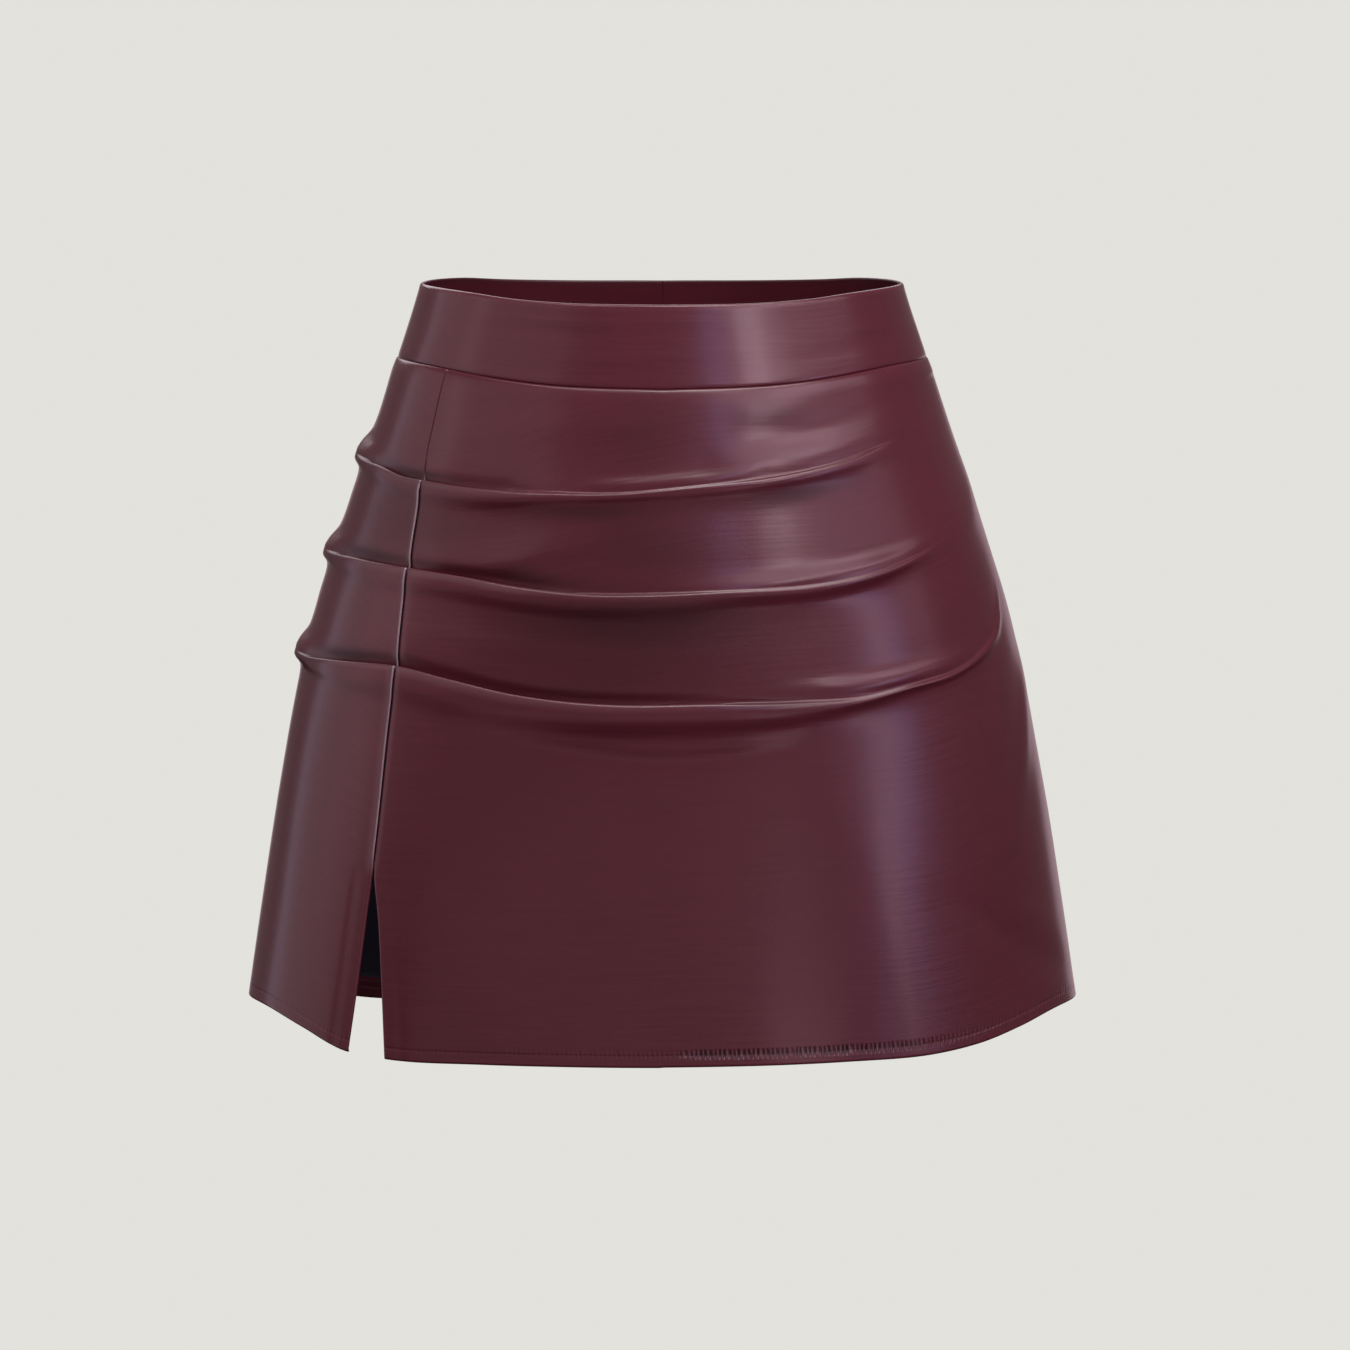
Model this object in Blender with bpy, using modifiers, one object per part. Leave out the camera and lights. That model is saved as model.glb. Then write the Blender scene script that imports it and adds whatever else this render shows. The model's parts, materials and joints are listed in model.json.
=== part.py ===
"""High-waisted A-line mini skirt in glossy faux leather, with three draped pleats and a side-front slit.

The skirt keeps the form it has when it is filled out: an open, hollow shell of cut and sewn panels.
Origin: centre of the waist opening, level with the band's top edge at the centre front.
The front faces -Y, the wearer's left side is +X and up is +Z.  Everything is in metres.

A place on the skirt is given by its angle, in degrees round the body from the centre front towards the
wearer's left, and by how far it lies below the waist.  Tables are in millimetres and degrees.
"""
import math

import bmesh
import bpy
import numpy as np
from mathutils import Matrix, Vector

MM = 0.001

# ---------------------------------------------------------------------------------------------------
# Driving dimensions
# ---------------------------------------------------------------------------------------------------
WALL = 1.1 * MM               # one layer of faux leather with its knitted backing
DOUBLE_WALL = 2.2 * MM        # the self-faced waistband, the turned-up hem and the slit's turned-in edges
SEAM_GAP = 0.3 * MM           # between two pieces that meet at a seam
HEM_TURN_UP = 11.0            # mm, height of the turned-up hem
SLIT_TURN_IN = 10.0           # mm, width of the turned-in edge on each side of the slit
FOLD_STEP = 0.6               # mm, over which a turned edge thins to one layer
SLIT_TOP = 282.0              # mm below the waist
BAND_OUT = -0.5               # mm, the waistband lies this far inside the form, which the panels follow
SIDE_SEAM = 98.0              # degrees, a little behind the side
CENTRE_BACK = 180.0           # degrees

# The filled-out form, from above the waist to below the hem.
FORM_COLUMNS = ("below", "half_width", "front_depth", "back_depth")
FORM = (
    (-10, 121.4, 87.0, 87.0),
    (0, 124.2, 88.8, 88.8),
    (34, 135.2, 94.5, 95.5),
    (65, 145.3, 100.5, 104.0),
    (96, 155.9, 106.0, 113.0),
    (126, 165.7, 110.5, 121.0),
    (157, 175.5, 113.5, 126.5),
    (188, 183.1, 115.5, 129.0),
    (249, 194.9, 117.2, 129.5),
    (311, 204.7, 118.4, 129.7),
    (360, 212.0, 119.3, 130.2),
    (400, 218.0, 120.0, 130.8),
)

# Where the level lines run, from the centre front to the centre back: they rise towards the sides.
# The hem has a column for each of the wearer's sides, because it dips at the corners of the slit.
LEVEL_COLUMNS = ("angle", "band_top", "band_seam", "hem_left", "hem_right")
LEVELS = (
    (0, 0.0, 41.5, 377.9, 378.1),
    (25, -0.5, 39.8, 377.0, 378.4),
    (39, -1.9, 37.2, 375.9, 378.7),
    (48, -3.3, 35.2, 372.6, 376.2),
    (58, -4.3, 33.4, 366.8, 367.4),
    (68, -4.8, 32.6, 361.6, 361.4),
    (90, -5.0, 32.4, 360.3, 359.8),
    (112, -4.8, 32.6, 363.0, 362.6),
    (124, -4.2, 33.8, 370.6, 370.6),
    (138, -2.3, 37.0, 378.2, 378.2),
    (158, -0.6, 40.2, 378.6, 378.6),
    (180, 0.0, 41.5, 378.2, 378.2),
)

# The side-front seam, and below the slit's top the two edges that part from it.
SEAM_COLUMNS = ("below", "side_front_edge", "front_edge")
SIDE_FRONT_SEAM = (
    (30, -52.6, -52.6),
    (60, -53.0, -53.0),
    (90, -51.5, -51.5),
    (133, -49.5, -49.5),
    (182, -47.4, -47.4),
    (215, -47.0, -47.0),
    (250, -46.4, -46.4),
    (282, -46.3, -46.2),
    (300, -46.5, -44.8),
    (340, -46.9, -42.4),
    (380, -47.5, -40.4),
)

# Each pleat's fold line and its changing cross-section.  Fold says which section it has: 1 is the full
# tuck that opens upwards, 0.5 a plain step and 0 the soft ridge that it runs out into.  Height scales how
# far it stands out, and roll is how much of the cloth bulges over it at the side.
PLEAT_COLUMNS = ("angle", "below", "fold", "height", "roll")
PLEATS = (
    (   # the upper pleat
        (-98, 81.0, 0.00, 0.00, 0.00),
        (-90, 81.5, 0.00, 0.15, 1.00),
        (-82, 82.4, 0.30, 0.40, 0.60),
        (-75, 83.4, 0.55, 0.85, 0.15),
        (-67, 85.2, 0.90, 1.00, 0.00),
        (-58, 88.6, 1.00, 1.00, 0.00),
        (-48, 90.2, 1.00, 1.00, 0.00),
        (-40, 91.6, 0.90, 1.00, 0.00),
        (-31, 92.3, 0.50, 1.00, 0.00),
        (-22, 92.5, 0.15, 0.95, 0.00),
        (-8, 92.2, 0.00, 1.00, 0.00),
        (4, 89.3, 0.00, 1.00, 0.00),
        (24, 83.6, 0.00, 0.85, 0.00),
        (38, 77.8, 0.00, 0.50, 0.00),
        (54, 69.0, 0.00, 0.00, 0.00),
        (98, 57.5, 0.00, 0.00, 0.00),
    ),
    (   # the middle pleat
        (-98, 130.5, 0.00, 0.00, 0.00),
        (-90, 130.8, 0.00, 0.15, 1.00),
        (-82, 130.5, 0.30, 0.40, 0.60),
        (-76, 130.5, 0.55, 0.85, 0.15),
        (-68, 130.9, 0.90, 1.00, 0.00),
        (-60, 131.8, 1.00, 1.00, 0.00),
        (-48, 133.3, 1.00, 1.00, 0.00),
        (-36, 135.6, 1.00, 1.00, 0.00),
        (-24, 139.4, 0.85, 1.00, 0.00),
        (-12, 141.8, 0.50, 1.00, 0.00),
        (0, 141.6, 0.15, 1.05, 0.00),
        (10, 140.4, 0.00, 1.10, 0.00),
        (26, 138.5, 0.00, 1.10, 0.00),
        (38, 134.0, 0.00, 0.80, 0.00),
        (50, 126.6, 0.00, 0.35, 0.00),
        (62, 118.0, 0.00, 0.00, 0.00),
        (98, 97.5, 0.00, 0.00, 0.00),
    ),
    (   # the lower pleat
        (-98, 180.5, 0.00, 0.00, 0.00),
        (-90, 181.6, 0.00, 0.30, 1.00),
        (-82, 182.4, 0.30, 0.45, 0.65),
        (-76, 182.7, 0.55, 0.85, 0.15),
        (-68, 182.5, 0.90, 1.00, 0.00),
        (-60, 182.0, 1.00, 1.00, 0.00),
        (-46, 182.0, 1.00, 1.00, 0.00),
        (-35, 186.8, 1.00, 1.00, 0.00),
        (-23, 193.0, 1.00, 1.00, 0.00),
        (-8, 196.6, 0.90, 1.00, 0.00),
        (8, 196.0, 0.60, 1.00, 0.00),
        (20, 196.2, 0.30, 1.05, 0.00),
        (32, 195.2, 0.00, 1.15, 0.00),
        (42, 190.2, 0.00, 1.10, 0.00),
        (54, 184.5, 0.00, 0.85, 0.00),
        (66, 172.5, 0.00, 0.50, 0.00),
        (78, 156.0, 0.00, 0.00, 0.00),
        (98, 138.0, 0.00, 0.00, 0.00),
    ),
)

# Cross-sections of a pleat from above it to below it: how far below the fold line, and how far out.
SECTION_COLUMNS = ("tuck_below", "tuck_out", "step_below", "step_out", "ridge_below", "ridge_out", "roll_out")
PLEAT_SECTION = (
    (-19.0, 0.0, -19.0, 0.1, -19.0, 0.3, 0.0),
    (-11.0, 0.3, -11.0, 0.6, -11.5, 1.1, 0.6),
    (-5.5, 0.0, -6.0, 0.4, -7.0, 1.2, 2.1),
    (-1.0, -0.8, -2.5, 0.1, -4.6, 1.4, 3.2),
    (3.0, -1.0, -0.9, 0.1, -3.6, 1.6, 3.6),
    (4.9, -0.7, -0.3, 0.3, -2.8, 1.9, 4.0),
    (5.1, -0.1, -0.1, 0.6, -2.1, 2.2, 4.3),
    (3.0, 0.3, -0.1, 0.8, -1.4, 2.5, 4.5),
    (0.4, 0.6, 0.0, 1.1, -0.6, 2.8, 4.6),
    (-1.0, 1.7, 0.1, 2.1, 0.4, 2.9, 4.5),
    (-0.5, 3.1, 0.8, 3.3, 1.7, 2.5, 4.1),
    (1.6, 3.8, 2.9, 3.6, 3.6, 1.2, 2.8),
    (9.0, 2.7, 8.5, 1.8, 8.0, -0.8, 0.8),
    (20.0, 0.3, 20.0, 0.1, 20.0, -0.2, 0.0),
)

# Where a panel leaves the band: how far below the seam, and how far out of the form.
PANEL_TOP = ((1.6, 0.1), (5.0, 0.5))

# Mesh density of the cloth.
FRONT_COLUMNS = 32
SIDE_FRONT_COLUMNS = 10
BACK_COLUMNS = 14
BAND_FRONT_COLUMNS = 27
BAND_BACK_COLUMNS = 14
EDGE_SHARE = 0.008            # of a piece's width, between its edge and the column next to it
ROWS_ABOVE_SLIT = (0.3, 0.65, 1.0)    # shares of the way from the last pleat to the slit's top
ROWS_BESIDE_SLIT = (0.33, 0.67)       # shares of the way from the slit's top to the turned-up hem
PLAIN_ROWS_OF_A_BACK = 12
EDGE_PASSES = 4               # an edge depends on the depth and the depth on the angle: they settle in turn

# The concealed zip of the centre-back seam, in millimetres.  It closes up to the band.
TAPE_DEPTHS = (43.5, 55.5, 61.5, 80.0, 100.0, 120.0, 140.0, 160.0, 180.0)     # its rows, below the waist
TAPE_WIDTH = 11.0
TAPE_THICKNESS = 1.0
TAPE_CLEARANCE = 0.7          # behind the wall that it lies on
SLANT = 1.05                  # a slanting wall's level thickness, for each millimetre of its own
PARTED_EDGE = 1.6             # each panel's edge beside the slider's neck, from the centre back
PARTED_TAPE = 3.6             # each tape's edge beside the slider
PARTED_DEPTH = 55.5           # the edges stay parted down to here
PARTED_OUT = 0.4              # of the form, where they are parted
CLOSED_DEPTH = 61.5           # they have closed by here
CLOSED_OUT = 0.3
SLIDER_BELOW = 49.5           # the slider's middle
SLIDER_OUT = 0.45             # the cloth's face there, out of the form
SLIDER_BODY = (6.0, 2.5, 9.0)
SLIDER_NECK_SIZE = (1.7, 4.6) # across and up
SLIDER_PLATE = (4.2, 1.0, 7.6)
SLIDER_LIFT = 0.4             # clear of the cloth, on both its faces
SLIDER_BEVEL = 0.35
BAIL_RADIUS = 1.7             # of the wire's centre line, about the hinge
WIRE_RADIUS = 0.4             # of the bail and of the band's bar
HINGE_LIFT = 0.95             # of the hinge above the slider's plate
HINGE_UP = 1.0                # of the hinge above the slider's middle
PULL_THICKNESS = 1.0
PULL_LENGTH = 13.0
PULL_TOP_HALF_WIDTH = 1.9
PULL_END_RADIUS = 2.5
PULL_CORNER = 0.4
PULL_BAR = 0.5                # half the height of the bar that passes through the bail
PULL_WINDOW = (0.95, 2.75)    # half width, and lower end below the hinge

# The hook and bar that hold the band's ends together on the inside, in millimetres.  Across is measured
# from the centre back towards the wearer's left, and in from the band's inner face, as a negative number.
HOOK_BELOW = 30.0
HOOK_HEIGHT = 6.0
HOOK_THICKNESS = 0.6
HOOK_RADIUS = 1.1             # of its bend, about the bar
HOOK_PLATE = ((8.5, -0.6), (1.8, -0.6), (1.2, -0.8), (-0.6, -2.7), (-1.2, -2.9))     # up to its bend
BAR_ACROSS = -3.0
BAR_IN = -1.8
BAR_HALF_LENGTH = 4.5
BAR_SHOULDER = (0.7, 0.9)     # shares of its depth and half length, where the bar bends down to the band

# Colour, roughness and metallic value of each finish.
FINISHES = {
    "burgundy_leather": ((0.090, 0.016, 0.026, 1.0), 0.30, 0.0),
    "zip_tape": ((0.060, 0.012, 0.018, 1.0), 0.80, 0.0),
    "zip_metal": ((0.085, 0.060, 0.065, 1.0), 0.35, 0.8),
    "hook_metal": ((0.55, 0.54, 0.53, 1.0), 0.30, 1.0),
}


# ---------------------------------------------------------------------------------------------------
# Smooth curves through the tables
# ---------------------------------------------------------------------------------------------------
def smooth_curve(xs, ys):
    """Return a function that runs smoothly through the points and levels off past both ends."""
    xs = np.asarray(xs, float)
    ys = np.asarray(ys, float)
    step = np.diff(xs)
    slope = np.diff(ys) / step
    tangent = np.empty_like(ys)
    tangent[0], tangent[-1] = slope[0], slope[-1]
    tangent[1:-1] = (slope[:-1] * step[1:] + slope[1:] * step[:-1]) / (step[1:] + step[:-1])

    def value(x):
        x = np.clip(np.asarray(x, float), xs[0], xs[-1])
        left = np.clip(np.searchsorted(xs, x, side="right") - 1, 0, len(step) - 1)
        width = step[left]
        share = (x - xs[left]) / width
        return (
            ys[left] * (1 + 2 * share) * (1 - share) ** 2
            + tangent[left] * width * share * (1 - share) ** 2
            + ys[left + 1] * share ** 2 * (3 - 2 * share)
            + tangent[left + 1] * width * share ** 2 * (share - 1)
        )

    return value


def curves_of(columns, table):
    """Return one smooth curve for each column after the first, by its name."""
    rows = np.array(table, float)
    return {name: smooth_curve(rows[:, 0], rows[:, i]) for i, name in enumerate(columns) if i > 0}


def ease(x, start, end):
    """Go smoothly from 0 at start to 1 at end."""
    share = np.clip((np.asarray(x, float) - start) / (end - start), 0.0, 1.0)
    return share * share * (3 - 2 * share)


form = curves_of(FORM_COLUMNS, FORM)
levels = curves_of(LEVEL_COLUMNS, LEVELS)
seam = curves_of(SEAM_COLUMNS, SIDE_FRONT_SEAM)
pleats = [curves_of(PLEAT_COLUMNS, table) for table in PLEATS]
section = dict(zip(SECTION_COLUMNS, np.array(PLEAT_SECTION, float).T))


def round_the_body(name, angle):
    """Read a level line at any angle; the hem has a line of its own on each side."""
    turned = (np.asarray(angle, float) + 180.0) % 360.0 - 180.0
    folded = np.abs(turned)
    if name != "hem":
        return levels[name](folded)
    return np.where(turned > 0, levels["hem_left"](folded), levels["hem_right"](folded))


# ---------------------------------------------------------------------------------------------------
# Places on the skirt
# ---------------------------------------------------------------------------------------------------
def depth_at(angle, below):
    """Give the form's half depth, front or back, in millimetres."""
    faces_front = np.cos(np.radians(angle)) > 0
    return np.where(faces_front, form["front_depth"](below), form["back_depth"](below))


def points_at(angle, below, out):
    """Turn angles, depths below the waist and distances out of the form into points in metres."""
    turn = np.radians(angle)
    width = form["half_width"](below)
    depth = depth_at(angle, below)
    normal = np.stack([np.sin(turn) / width, -np.cos(turn) / depth])
    normal = normal / np.linalg.norm(normal, axis=0)
    x = width * np.sin(turn) + out * normal[0]
    y = -depth * np.cos(turn) + out * normal[1]
    return np.stack([x, y, -below], axis=-1) * MM


def degrees_for(length, angle, below):
    """Give the angle that a short length in millimetres takes up along a level line."""
    turn = np.radians(angle)
    per_radian = np.hypot(form["half_width"](below) * np.cos(turn), depth_at(angle, below) * np.sin(turn))
    return np.degrees(length / per_radian)


def seam_edge(line, side):
    """Return a panel's edge as a function of depth: half a seam gap to one side of a line."""
    half_gap = SEAM_GAP / MM / 2

    def edge(below):
        angle = line(below)
        return angle + side * degrees_for(half_gap, angle, below)

    return edge


def constant(value):
    return lambda below: np.full_like(np.asarray(below, float), value)


# ---------------------------------------------------------------------------------------------------
# Rows of a panel.  A row is a function: angles -> (below, out), both in millimetres.
# ---------------------------------------------------------------------------------------------------
def section_at(k, fold, measure):
    """Read one measure of a pleat's cross-section, between its ridge, step and tuck."""
    ridge, step, tuck = (section[f"{shape}_{measure}"][k] for shape in ("ridge", "step", "tuck"))
    soft, full = np.clip(2 * fold, 0, 1), np.clip(2 * fold - 1, 0, 1)
    return ridge + soft * (step - ridge) + full * (tuck - step)


def pleat_row(curves, k):
    """Return the row at place k of a pleat's cross-section."""
    def row(angle):
        fold = np.clip(curves["fold"](angle), 0, 1)
        height = np.clip(curves["height"](angle), 0, None)
        roll = np.clip(curves["roll"](angle), 0, None)
        below = curves["below"](angle) + section_at(k, fold, "below")
        return below, height * section_at(k, fold, "out") + roll * section["roll_out"][k]

    return row


def between(upper, lower, share):
    """Return the row that lies between two others."""
    def row(angle):
        above, above_out = upper(angle)
        beneath, beneath_out = lower(angle)
        return above + share * (beneath - above), above_out + share * (beneath_out - above_out)

    return row


def band_top(angle):
    return round_the_body("band_top", angle), np.full_like(angle, BAND_OUT)


def below_band(distance, out):
    return lambda angle: (round_the_body("band_seam", angle) + distance, np.full_like(angle, out))


def above_hem(distance):
    return lambda angle: (round_the_body("hem", angle) - distance, np.zeros_like(angle))


def level_row(below, out):
    return lambda angle: (np.full_like(angle, below), np.full_like(angle, out))


def panel_top_rows():
    """The panel leaves the band level with it, and rolls out to its own form."""
    half_gap = SEAM_GAP / MM / 2
    return [below_band(half_gap, BAND_OUT)] + [below_band(distance, out) for distance, out in PANEL_TOP]


def hem_rows():
    return [above_hem(HEM_TURN_UP + FOLD_STEP), above_hem(HEM_TURN_UP), above_hem(0.0)]


def pleated_rows():
    """Rows from the band down over the three pleats to the hem."""
    rows = panel_top_rows()
    for curves in pleats:
        rows += [pleat_row(curves, k) for k in range(len(PLEAT_SECTION))]
    last_fold, hem_start = rows[-1], hem_rows()[0]
    at_slit = np.array([float(seam["side_front_edge"](SLIT_TOP))])
    fold_depth, hem_depth = float(last_fold(at_slit)[0][0]), float(hem_start(at_slit)[0][0])
    slit_share = (SLIT_TOP - fold_depth) / (hem_depth - fold_depth)
    above_slit = [slit_share * share for share in ROWS_ABOVE_SLIT]
    beside_slit = [slit_share + (1 - slit_share) * share for share in ROWS_BESIDE_SLIT]
    rows += [between(last_fold, hem_start, share) for share in above_slit + beside_slit]
    return rows + hem_rows()


def plain_rows(count):
    """Rows of a back panel: past the parted edges beside the zip's slider, then evenly down to the hem."""
    centre_seam = float(round_the_body("band_seam", CENTRE_BACK))
    rows = panel_top_rows()
    rows.append(below_band(PARTED_DEPTH - centre_seam, PARTED_OUT))
    rows.append(below_band(CLOSED_DEPTH - centre_seam, CLOSED_OUT))
    last, hem_start = rows[-1], hem_rows()[0]
    rows += [between(last, hem_start, (k + 1) / (count + 1)) for k in range(count)]
    return rows + hem_rows()


# ---------------------------------------------------------------------------------------------------
# Blender objects
# ---------------------------------------------------------------------------------------------------
def clear_scene():
    for item in list(bpy.context.scene.objects):
        bpy.data.objects.remove(item, do_unlink=True)


def new_collection(name):
    collection = bpy.data.collections.new(name)
    bpy.context.scene.collection.children.link(collection)
    return collection


def move_to(item, collection):
    for owner in list(item.users_collection):
        owner.objects.unlink(item)
    collection.objects.link(item)


def finish_material(name):
    material = bpy.data.materials.get(name)
    if material is None:
        colour, roughness, metallic = FINISHES[name]
        material = bpy.data.materials.new(name)
        material.use_nodes = True
        shader = material.node_tree.nodes["Principled BSDF"]
        shader.inputs["Base Color"].default_value = colour
        shader.inputs["Roughness"].default_value = roughness
        shader.inputs["Metallic"].default_value = metallic
        material.diffuse_color = colour
    return material


def cloth_points(rows, left_edge, right_edge, shares):
    """Work out a panel's grid of points, from its lowest row to its highest."""
    grid = []
    for row in reversed(rows):
        angle = left_edge(0.0) + (right_edge(0.0) - left_edge(0.0)) * shares
        for _ in range(EDGE_PASSES):
            below, out = row(angle)
            angle = left_edge(below) + (right_edge(below) - left_edge(below)) * shares
        below, out = row(angle)
        grid.append(points_at(angle, below, out))
    return np.array(grid)


def grid_object(name, points, finish, collection):
    """Add a grid and lay its points on the given ones; it faces outwards."""
    row_count, column_count = points.shape[:2]
    bpy.ops.mesh.primitive_grid_add(
        x_subdivisions=column_count - 1, y_subdivisions=row_count - 1, size=1.0
    )
    cloth = bpy.context.object
    cloth.name = cloth.data.name = name
    cloth.data.vertices.foreach_set("co", points.reshape(-1))
    cloth.data.update()
    cloth.data.materials.append(finish_material(finish))
    cloth.data.shade_smooth()
    move_to(cloth, collection)
    return cloth


def give_wall(cloth, thickness):
    """Thicken a sheet inwards from its outer face."""
    wall = cloth.modifiers.new("wall", "SOLIDIFY")
    wall.thickness = thickness
    wall.offset = -1.0
    wall.use_quality_normals = True
    return wall


def give_turned_edges(cloth, turned):
    """Make the wall double where an edge is turned under, and single elsewhere."""
    wall = give_wall(cloth, DOUBLE_WALL)
    group = cloth.vertex_groups.new(name="turned edge")
    group.add([int(i) for i in np.flatnonzero(turned.reshape(-1))], 1.0, "REPLACE")
    wall.vertex_group = group.name
    wall.thickness_vertex_group = WALL / DOUBLE_WALL


def panel(name, rows, left_edge, right_edge, shares, slit_columns, collection):
    """Make a body panel with a turned-up hem and, beside the slit, a turned-in edge."""
    points = cloth_points(rows, left_edge, right_edge, shares)
    cloth = grid_object(name, points, "burgundy_leather", collection)
    turned = np.zeros(points.shape[:2], bool)
    turned[:2] = True
    below = -points[..., 2] / MM
    turned[:, slit_columns] |= below[:, slit_columns] > SLIT_TOP - FOLD_STEP
    give_turned_edges(cloth, turned)


def even_shares(count):
    """Space columns evenly, but for one close to each edge, which keeps the wall square at the seam."""
    return np.concatenate([[0.0], np.linspace(EDGE_SHARE, 1.0 - EDGE_SHARE, count - 2), [1.0]])


def column_shares(count, turn_in_share, fold_share, at_end):
    """Space a panel's columns evenly, after the two that bound its turned-in edge."""
    rest = np.linspace(turn_in_share + fold_share, 1.0 - EDGE_SHARE, count - 3)
    shares = np.concatenate([[0.0, turn_in_share], rest, [1.0]])
    return 1.0 - shares[::-1] if at_end else shares


def front_panel(collection):
    left = seam_edge(seam["front_edge"], +1)
    right = seam_edge(constant(SIDE_SEAM), -1)
    width = float(right(SLIT_TOP) - left(SLIT_TOP))
    turn_in = float(degrees_for(SLIT_TURN_IN, left(SLIT_TOP), SLIT_TOP)) / width
    shares = column_shares(FRONT_COLUMNS, turn_in, turn_in * FOLD_STEP / SLIT_TURN_IN, at_end=False)
    panel("front_panel", pleated_rows(), left, right, shares, [0, 1], collection)


def side_front_panel(collection):
    left = seam_edge(constant(-SIDE_SEAM), +1)
    right = seam_edge(seam["side_front_edge"], -1)
    width = float(right(SLIT_TOP) - left(SLIT_TOP))
    turn_in = float(degrees_for(SLIT_TURN_IN, right(SLIT_TOP), SLIT_TOP)) / width
    shares = column_shares(SIDE_FRONT_COLUMNS, turn_in, turn_in * FOLD_STEP / SLIT_TURN_IN, at_end=True)
    panel("side_front_panel", pleated_rows(), left, right, shares, [-2, -1], collection)


def parted_edge(side, beside_slider):
    """The centre-back edge of a panel or a tape: it stands off where the slider parts it."""
    half_gap = SEAM_GAP / MM / 2

    def edge(below):
        parted = 1.0 - ease(below, PARTED_DEPTH, CLOSED_DEPTH)
        distance = half_gap + (beside_slider - half_gap) * parted
        return CENTRE_BACK + side * degrees_for(distance, CENTRE_BACK, below)

    return edge


def beside_centre_back(distance):
    return lambda below: CENTRE_BACK + degrees_for(distance, CENTRE_BACK, below)


def back_panels(collection):
    shares = even_shares(BACK_COLUMNS)
    rows = plain_rows(PLAIN_ROWS_OF_A_BACK)
    left_side = seam_edge(constant(SIDE_SEAM), +1)
    right_side = seam_edge(constant(360.0 - SIDE_SEAM), -1)
    panel("back_panel_left", rows, left_side, parted_edge(-1, PARTED_EDGE), shares, [], collection)
    panel("back_panel_right", rows, parted_edge(+1, PARTED_EDGE), right_side, shares, [], collection)


def waistbands(collection):
    """Make the band's front and its two back halves, each a double wall of even height."""
    bottom = below_band(-SEAM_GAP / MM / 2, BAND_OUT)
    rows = [band_top, between(band_top, bottom, 0.5), bottom]
    ends = (
        ("waistband_front", -SIDE_SEAM, SIDE_SEAM, BAND_FRONT_COLUMNS),
        ("waistband_back_left", SIDE_SEAM, CENTRE_BACK, BAND_BACK_COLUMNS),
        ("waistband_back_right", CENTRE_BACK, 360.0 - SIDE_SEAM, BAND_BACK_COLUMNS),
    )
    for name, start, end, column_count in ends:
        left_edge, right_edge = seam_edge(constant(start), +1), seam_edge(constant(end), -1)
        points = cloth_points(rows, left_edge, right_edge, even_shares(column_count))
        give_wall(grid_object(name, points, "burgundy_leather", collection), DOUBLE_WALL)


# ---------------------------------------------------------------------------------------------------
# The zip
# ---------------------------------------------------------------------------------------------------
def zip_tapes(collection):
    """Lay a tape behind each side of the opening, just inside the panels."""
    behind_panel = -WALL / MM * SLANT - TAPE_CLEARANCE
    rows = [level_row(below, behind_panel) for below in TAPE_DEPTHS]
    for name, side in (("zip_tape_left", -1), ("zip_tape_right", +1)):
        inner, outer = parted_edge(side, PARTED_TAPE), beside_centre_back(side * TAPE_WIDTH)
        left_edge, right_edge = (outer, inner) if side < 0 else (inner, outer)
        points = cloth_points(rows, left_edge, right_edge, np.linspace(0.0, 1.0, 3))
        give_wall(grid_object(name, points, "zip_tape", collection), TAPE_THICKNESS * MM)


def centre_back_frame(below, out):
    """A frame on the cloth at the centre back: local Y points out of it, local Z up along it."""
    reach = 5.0     # mm, above and below the place, over which its lean is taken
    above, middle, beneath = points_at(np.full(3, CENTRE_BACK), below + np.array([-reach, 0.0, reach]), out)
    lean = math.atan2(beneath[1] - above[1], above[2] - beneath[2])
    return Matrix.Translation(Vector(middle)) @ Matrix.Rotation(lean, 4, "X")


def mesh_from_curve(name, curve, frame, collection):
    """Make a mesh object of a curve, with its loose caps welded on."""
    guide = bpy.data.objects.new(name + "_guide", curve)
    collection.objects.link(guide)
    guide.matrix_world = frame
    bpy.context.view_layer.update()
    evaluated = guide.evaluated_get(bpy.context.evaluated_depsgraph_get())
    mesh = bpy.data.meshes.new_from_object(evaluated)
    shape = bmesh.new()
    shape.from_mesh(mesh)
    bmesh.ops.remove_doubles(shape, verts=shape.verts, dist=1e-6)
    shape.to_mesh(mesh)
    shape.free()
    item = bpy.data.objects.new(name, mesh)
    item.matrix_world = guide.matrix_world
    bpy.data.objects.remove(guide, do_unlink=True)
    collection.objects.link(item)
    return item


def wire(name, route, finish, frame, collection):
    """Bend a round wire along a route of (across, out, up) points in millimetres."""
    curve = bpy.data.curves.new(name, "CURVE")
    curve.dimensions = "3D"
    curve.bevel_depth = WIRE_RADIUS * MM
    curve.bevel_resolution = 2
    curve.use_fill_caps = True
    spline = curve.splines.new("POLY")
    spline.points.add(len(route) - 1)
    for point, place in zip(spline.points, route):
        point.co = (*(Vector(place) * MM), 1.0)
    curve.materials.append(finish_material(finish))
    return mesh_from_curve(name, curve, frame, collection)


def flat_shape(name, outlines, thickness, finish, matrix, collection):
    """Cut a flat piece of even thickness from outlines of (x, y) points in millimetres."""
    shape = bpy.data.curves.new(name, "CURVE")
    shape.dimensions = "2D"
    shape.fill_mode = "BOTH"
    shape.extrude = thickness / 2 * MM
    for outline in outlines:
        spline = shape.splines.new("POLY")
        spline.points.add(len(outline) - 1)
        for point, (x, y) in zip(spline.points, outline):
            point.co = (x * MM, y * MM, 0.0, 1.0)
        spline.use_cyclic_u = True
    shape.materials.append(finish_material(finish))
    item = bpy.data.objects.new(name, shape)
    item.matrix_world = matrix
    collection.objects.link(item)


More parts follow.
